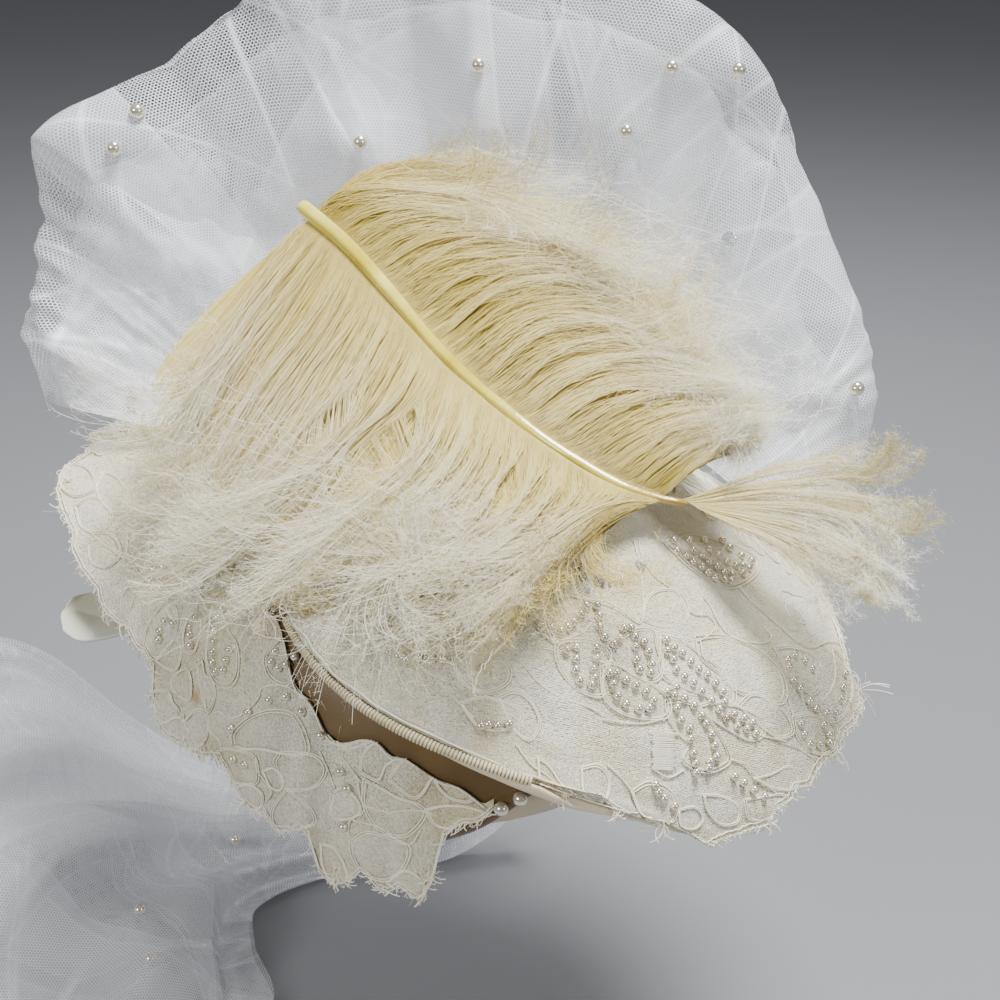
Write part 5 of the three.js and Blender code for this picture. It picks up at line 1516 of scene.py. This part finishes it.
def net_group():
    """Hexagonal net: each point is measured from the nearer of two staggered lattices, and a
    thread is where it comes close to the edge of its hexagon. Pitch and thread are in the
    units of the vector."""
    group = bpy.data.node_groups.new("hexagon_net", "ShaderNodeTree")
    for name, kind in (("Vector", "NodeSocketVector"), ("Pitch", "NodeSocketFloat"), ("Thread", "NodeSocketFloat")):
        group.interface.new_socket(name, in_out="INPUT", socket_type=kind)
    group.interface.new_socket("Mask", in_out="OUTPUT", socket_type="NodeSocketFloat")
    given = group.nodes.new("NodeGroupInput")
    result = group.nodes.new("NodeGroupOutput")

    vector = lambda operation, *values: reckon(group, "ShaderNodeVectorMath", operation, *values)
    pitch = given.outputs["Pitch"]
    size = add_node(group, "ShaderNodeCombineXYZ", X=pitch, Y=pitch, Z=pitch)
    cells = vector("DIVIDE", given.outputs["Vector"], size.outputs[0]).outputs[0]
    half = (0.5, math.sqrt(3) / 2, 1.0)
    moved = vector("SUBTRACT", cells, (0.5, math.sqrt(3) / 2, 0.0)).outputs[0]
    points = []
    for lattice in (cells, moved):
        wrapped = vector("WRAP", lattice, half, tuple(-x for x in half)).outputs[0]
        points.append(vector("MULTIPLY", wrapped, (1.0, 1.0, 0.0)).outputs[0])
    lengths = [vector("LENGTH", point).outputs["Value"] for point in points]
    nearer = number(group, "LESS_THAN", *lengths)
    choose = add_node(group, "ShaderNodeMix", set_data_type="VECTOR", Factor=nearer)
    feed(group, choose.inputs[4], points[1])
    feed(group, choose.inputs[5], points[0])
    place = vector("ABSOLUTE", choose.outputs[1]).outputs[0]
    slanted = vector("DOT_PRODUCT", place, (0.5, math.sqrt(3) / 2, 0.0)).outputs["Value"]
    straight = vector("DOT_PRODUCT", place, (1.0, 0.0, 0.0)).outputs["Value"]
    to_edge = number(group, "SUBTRACT", 0.5, number(group, "MAXIMUM", slanted, straight))
    width = number(group, "DIVIDE", given.outputs["Thread"], given.outputs["Pitch"])
    ratio = number(group, "DIVIDE", to_edge, width)
    group.links.new(remap(group, ratio, 0.35, 0.75, 1.0, 0.0), result.inputs["Mask"])
    return group


HEXAGON_NET = net_group()


def net_finish(name, pitch, thread, film):
    """Net: white thread round open hexagons. Alpha is full on a thread and faint between. Where
    the cloth lies in several layers the holes go milky, in straight-edged panes, and a pane's
    edge is a fold, which shows as a bright line."""
    material, tree, shader = finish(name, Base_Color=NET_WHITE, Roughness=0.45, Sheen_Weight=0.3)
    flat = add_node(tree, "ShaderNodeUVMap", set_uv_map="flat").outputs["UV"]
    net = add_node(tree, "ShaderNodeGroup", set_node_tree=HEXAGON_NET, Pitch=pitch, Thread=thread, Vector=flat)
    layers = None
    for spin, stretch, strength in FOLD_PANES:
        turned = add_node(tree, "ShaderNodeMapping", set_vector_type="TEXTURE", Vector=flat,
                          Rotation=(0.0, 0.0, spin), Scale=stretch).outputs["Vector"]
        pane = add_node(tree, "ShaderNodeTexVoronoi", Vector=turned, Scale=1.0)
        edge = add_node(tree, "ShaderNodeTexVoronoi", set_feature="DISTANCE_TO_EDGE", Vector=turned, Scale=1.0)
        tone = add_node(tree, "ShaderNodeSeparateColor", Color=pane.outputs["Color"])
        milky = remap(tree, tone.outputs[0], 0.45, 0.95, 0.0, 2.6 * film * strength)
        fold = remap(tree, edge.outputs["Distance"], 0.0, 0.022, 4.0 * film * strength, 0.0)
        here = number(tree, "MAXIMUM", milky, fold)
        layers = here if layers is None else number(tree, "ADD", layers, here)
    open_net = number(tree, "MULTIPLY", net.outputs["Mask"], 0.86)
    either, both = number(tree, "ADD", open_net, layers), number(tree, "MULTIPLY", open_net, layers)
    tree.links.new(number(tree, "SUBTRACT", either, both), shader.inputs["Alpha"])
    return material


def net_sheet(name, points, material, nodes=()):
    """A sheet of net from a grid of points. Flat coordinates follow the cloth, so the net keeps its pitch."""
    flat, pace, down, area = laid_flat(points, lambda pace: np.quantile(pace, 0.75, axis=1))
    made = put_mesh(name, points.reshape(-1, 3), grid_faces(*points.shape[:2]), material, None, flat)
    worn(made, "tulle", *nodes)
    return made


def nearest_to(points, place):
    """The point of a grid that is nearest a place."""
    return points.reshape(-1, 3)[np.argmin(np.linalg.norm(points - place, axis=-1))]


def sewn_to(points, face, start, spread=13.0, seat=1.7):
    """Draws a sheet to the beads sewn on it: round each bead it puckers out or in until the bead
    sits on it, on the side on which it sits on the unfolded face."""
    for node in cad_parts:
        if node.startswith(start):
            bead = np.array(sum(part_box(node), Vector()) / 2) / MM
            foot = bead - unit(bead - nearest_to(face, bead)) * seat
            pull = foot - nearest_to(points, foot)
            away = np.linalg.norm(points - foot, axis=-1)
            points = points + pull * np.exp(-(away / spread) ** 2)[..., None]
    return points


fine_net = net_finish("fine_net", NET_PITCH, NET_THREAD, 0.12)
sheer_net = net_finish("sheer_net", NET_PITCH, NET_THREAD * 0.8, 0.08)

pouf_u, pouf_v = shares(340, 90)
pouf_face = loft(pouf_table(), pouf_u, pouf_v)
pouf_out = grid_normals(pouf_face)
pouf_points = pouf_face + pouf_out * net_folds(pouf_u, pouf_v, pleats=9, depth=5.5, seed=31)[..., None]
pouf_points = sewn_to(pouf_points, pouf_face, ("pouf_pearl", "pouf_crystal"))
net_sheet("tulle_pouf_outer", pouf_points, fine_net, ["tulle_pouf"])
inner_rows = pouf_table()
inner_rows[:, 1:4] = inner_rows[:, :1] + (inner_rows[:, 1:4] - inner_rows[:, :1]) * 0.86
inner_u, inner_v = pouf_u[::2, ::2], pouf_v[::2, ::2]
inner_face = loft(inner_rows, inner_u, inner_v)
inner_folds = net_folds(inner_u, inner_v, pleats=7, depth=7.5, seed=32)
inner_points = inner_face + grid_normals(inner_face) * inner_folds[..., None]
net_sheet("tulle_pouf_inner", inner_points, sheer_net)

puff_u, puff_v = shares(220, 56)
puff_face = loft(PUFF_ROWS, puff_u, puff_v)
puff_folds = net_folds(puff_u, puff_v, pleats=7, depth=4.0, seed=33)
puff_points = puff_face + grid_normals(puff_face) * puff_folds[..., None]
net_sheet("tulle_puff_roll", puff_points, fine_net, ["tulle_puff"])


# Veil: a long sheet of the same net, gathered at the back under the pouf. It falls over the
# brim, comes down behind the head and sweeps to the left, where its cut end lies in a billow.
VEIL_ROWS = np.array([
    [(-36, 116, 56), (0, 123, 54), (35, 116, 51)], [(-44, 134, 54), (0, 144, 49), (42, 134, 46)],
    [(-53, 146, 32), (-1, 156, 26), (47, 146, 24)], [(-62, 150, -22), (-5, 157, -24), (50, 148, -26)],
    [(-74, 156, -78), (-14, 157, -86), (50, 148, -90)], [(-84, 160, -132), (-28, 156, -144), (38, 146, -152)],
    [(-106, 166, -170), (-60, 148, -180), (-4, 138, -192)],
    [(-138, 166, -158), (-100, 136, -172), (-62, 126, -194)],
    [(-166, 156, -124), (-130, 118, -156), (-92, 106, -195)],
    [(-198, 140, -78), (-156, 96, -132), (-90, 78, -195)], [(-228, 108, -70), (-184, 60, -126), (-76, 42, -195)],
    [(-254, 66, -104), (-206, 20, -152), (-96, -4, -195)],
    [(-268, 26, -196), (-216, -24, -196), (-140, -50, -197)]], float)
VEIL_FOLDS = 4
VEIL_FOLD_DEPTH = 6.0
LINING_FOLDS = 3
LINING_FOLD_DEPTH = 5.0
LINING_GAP = 2.5
VEIL_LOWEST = -198.5

veil_u, veil_v = shares(240, 120)
veil_face = loft(VEIL_ROWS, veil_u, veil_v)
veil_deep = np.minimum(1, 0.35 + 3 * veil_u)
veil_fold = VEIL_FOLD_DEPTH * crisp(2 * math.pi * VEIL_FOLDS * veil_v)
veil_fold += net_folds(veil_v, veil_u * 0.9 + 0.05, pleats=4, depth=3.2, seed=34)
veil_points = veil_face + grid_normals(veil_face) * (veil_deep * veil_fold)[..., None]
veil_points = sewn_to(veil_points, veil_face, "veil_pearl")
veil_points[..., 2] = np.maximum(veil_points[..., 2], VEIL_LOWEST)
net_sheet("veil_outer", veil_points, fine_net, ["veil"])
lining_u, lining_v = veil_u[::2, ::2], veil_v[::2, ::2]
lining_fold = LINING_FOLD_DEPTH * crisp(2 * math.pi * LINING_FOLDS * lining_v + 1.0)
lining_fold += net_folds(lining_v, lining_u * 0.9 + 0.05, pleats=3, depth=3.0, seed=35)
lining_off = (LINING_GAP + 0.6 * np.abs(lining_fold))[..., None]
lining_points = veil_points[::2, ::2] + grid_normals(veil_face)[::2, ::2] * lining_off
lining_points[..., 2] = np.maximum(lining_points[..., 2], VEIL_LOWEST)
net_sheet("veil_lining", lining_points, sheer_net)


# Beads: pearls and one clear faceted crystal, drilled and sewn to the net by hand, well apart.
# Each sits on the net, which puckers to it.
BEAD_RADIUS = 2.6
CRYSTAL_RADIUS = 2.4
CRYSTAL_WHITE = (0.95, 0.96, 0.98, 1)
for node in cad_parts:
    if not node.startswith(("pouf_pearl", "veil_pearl", "pouf_crystal")):
        continue
    low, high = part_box(node)
    seat = np.array((low + high) / 2) / MM
    if node == "pouf_crystal":
        points, faces = ball(CRYSTAL_RADIUS, 5, 8)
        crystal = finish("crystal", Base_Color=CRYSTAL_WHITE, Roughness=0.02, Transmission_Weight=1.0)[0]
        bead = put_mesh(node + "_bead", points + seat, faces, crystal)
        bead.data.polygons.foreach_set("use_smooth", np.zeros(len(bead.data.polygons), dtype=bool))
    else:
        points, faces = ball(BEAD_RADIUS, 15, 24)
        bead = put_mesh(node + "_bead", points + seat, faces, pearl_lustre)
    worn(bead, "crystal" if node == "pouf_crystal" else "pearl", node)


# Floor and light: a plain pale surface 200 mm under the head opening, and three soft studio lamps
# over the front and the top, in a pale grey room.
FLOOR_HEIGHT = -0.2
FLOOR_GREY = (0.26, 0.265, 0.28, 1)
FLOOR_REACH = 40000.0
floor_corners = FLOOR_REACH * np.array([(-1, -1), (1, -1), (1, 1), (-1, 1)])
floor = put_mesh("floor", np.column_stack([floor_corners, np.full(4, FLOOR_HEIGHT / MM)]), np.arange(4)[None],
                 finish("floor", Base_Color=FLOOR_GREY, Roughness=0.9)[0])

LAMPS = (
    ("top_lamp", (0.30, 0.10, 1.35), 0.5, 46.0),
    ("front_left_lamp", (-1.1, -1.2, 0.9), 0.5, 17.0),
    ("front_right_lamp", (1.2, -0.9, 0.7), 0.5, 7.0),
)
for lamp_name, lamp_place, lamp_size, lamp_power in LAMPS:
    lamp_data = bpy.data.lights.new(lamp_name, "AREA")
    lamp_data.shape = "DISK"
    lamp_data.size = lamp_size
    lamp_data.energy = lamp_power
    lamp = bpy.data.objects.new(lamp_name, lamp_data)
    lamp.location = lamp_place
    lamp.rotation_euler = (VIEW_TARGET - Vector(lamp_place)).to_track_quat("-Z", "Y").to_euler()
    bpy.context.scene.collection.objects.link(lamp)

world = bpy.data.worlds.new("studio")
bpy.context.scene.world = world
world.use_nodes = True
world.node_tree.nodes["Background"].inputs["Color"].default_value = (0.9, 0.93, 1.0, 1)
world.node_tree.nodes["Background"].inputs["Strength"].default_value = 0.21
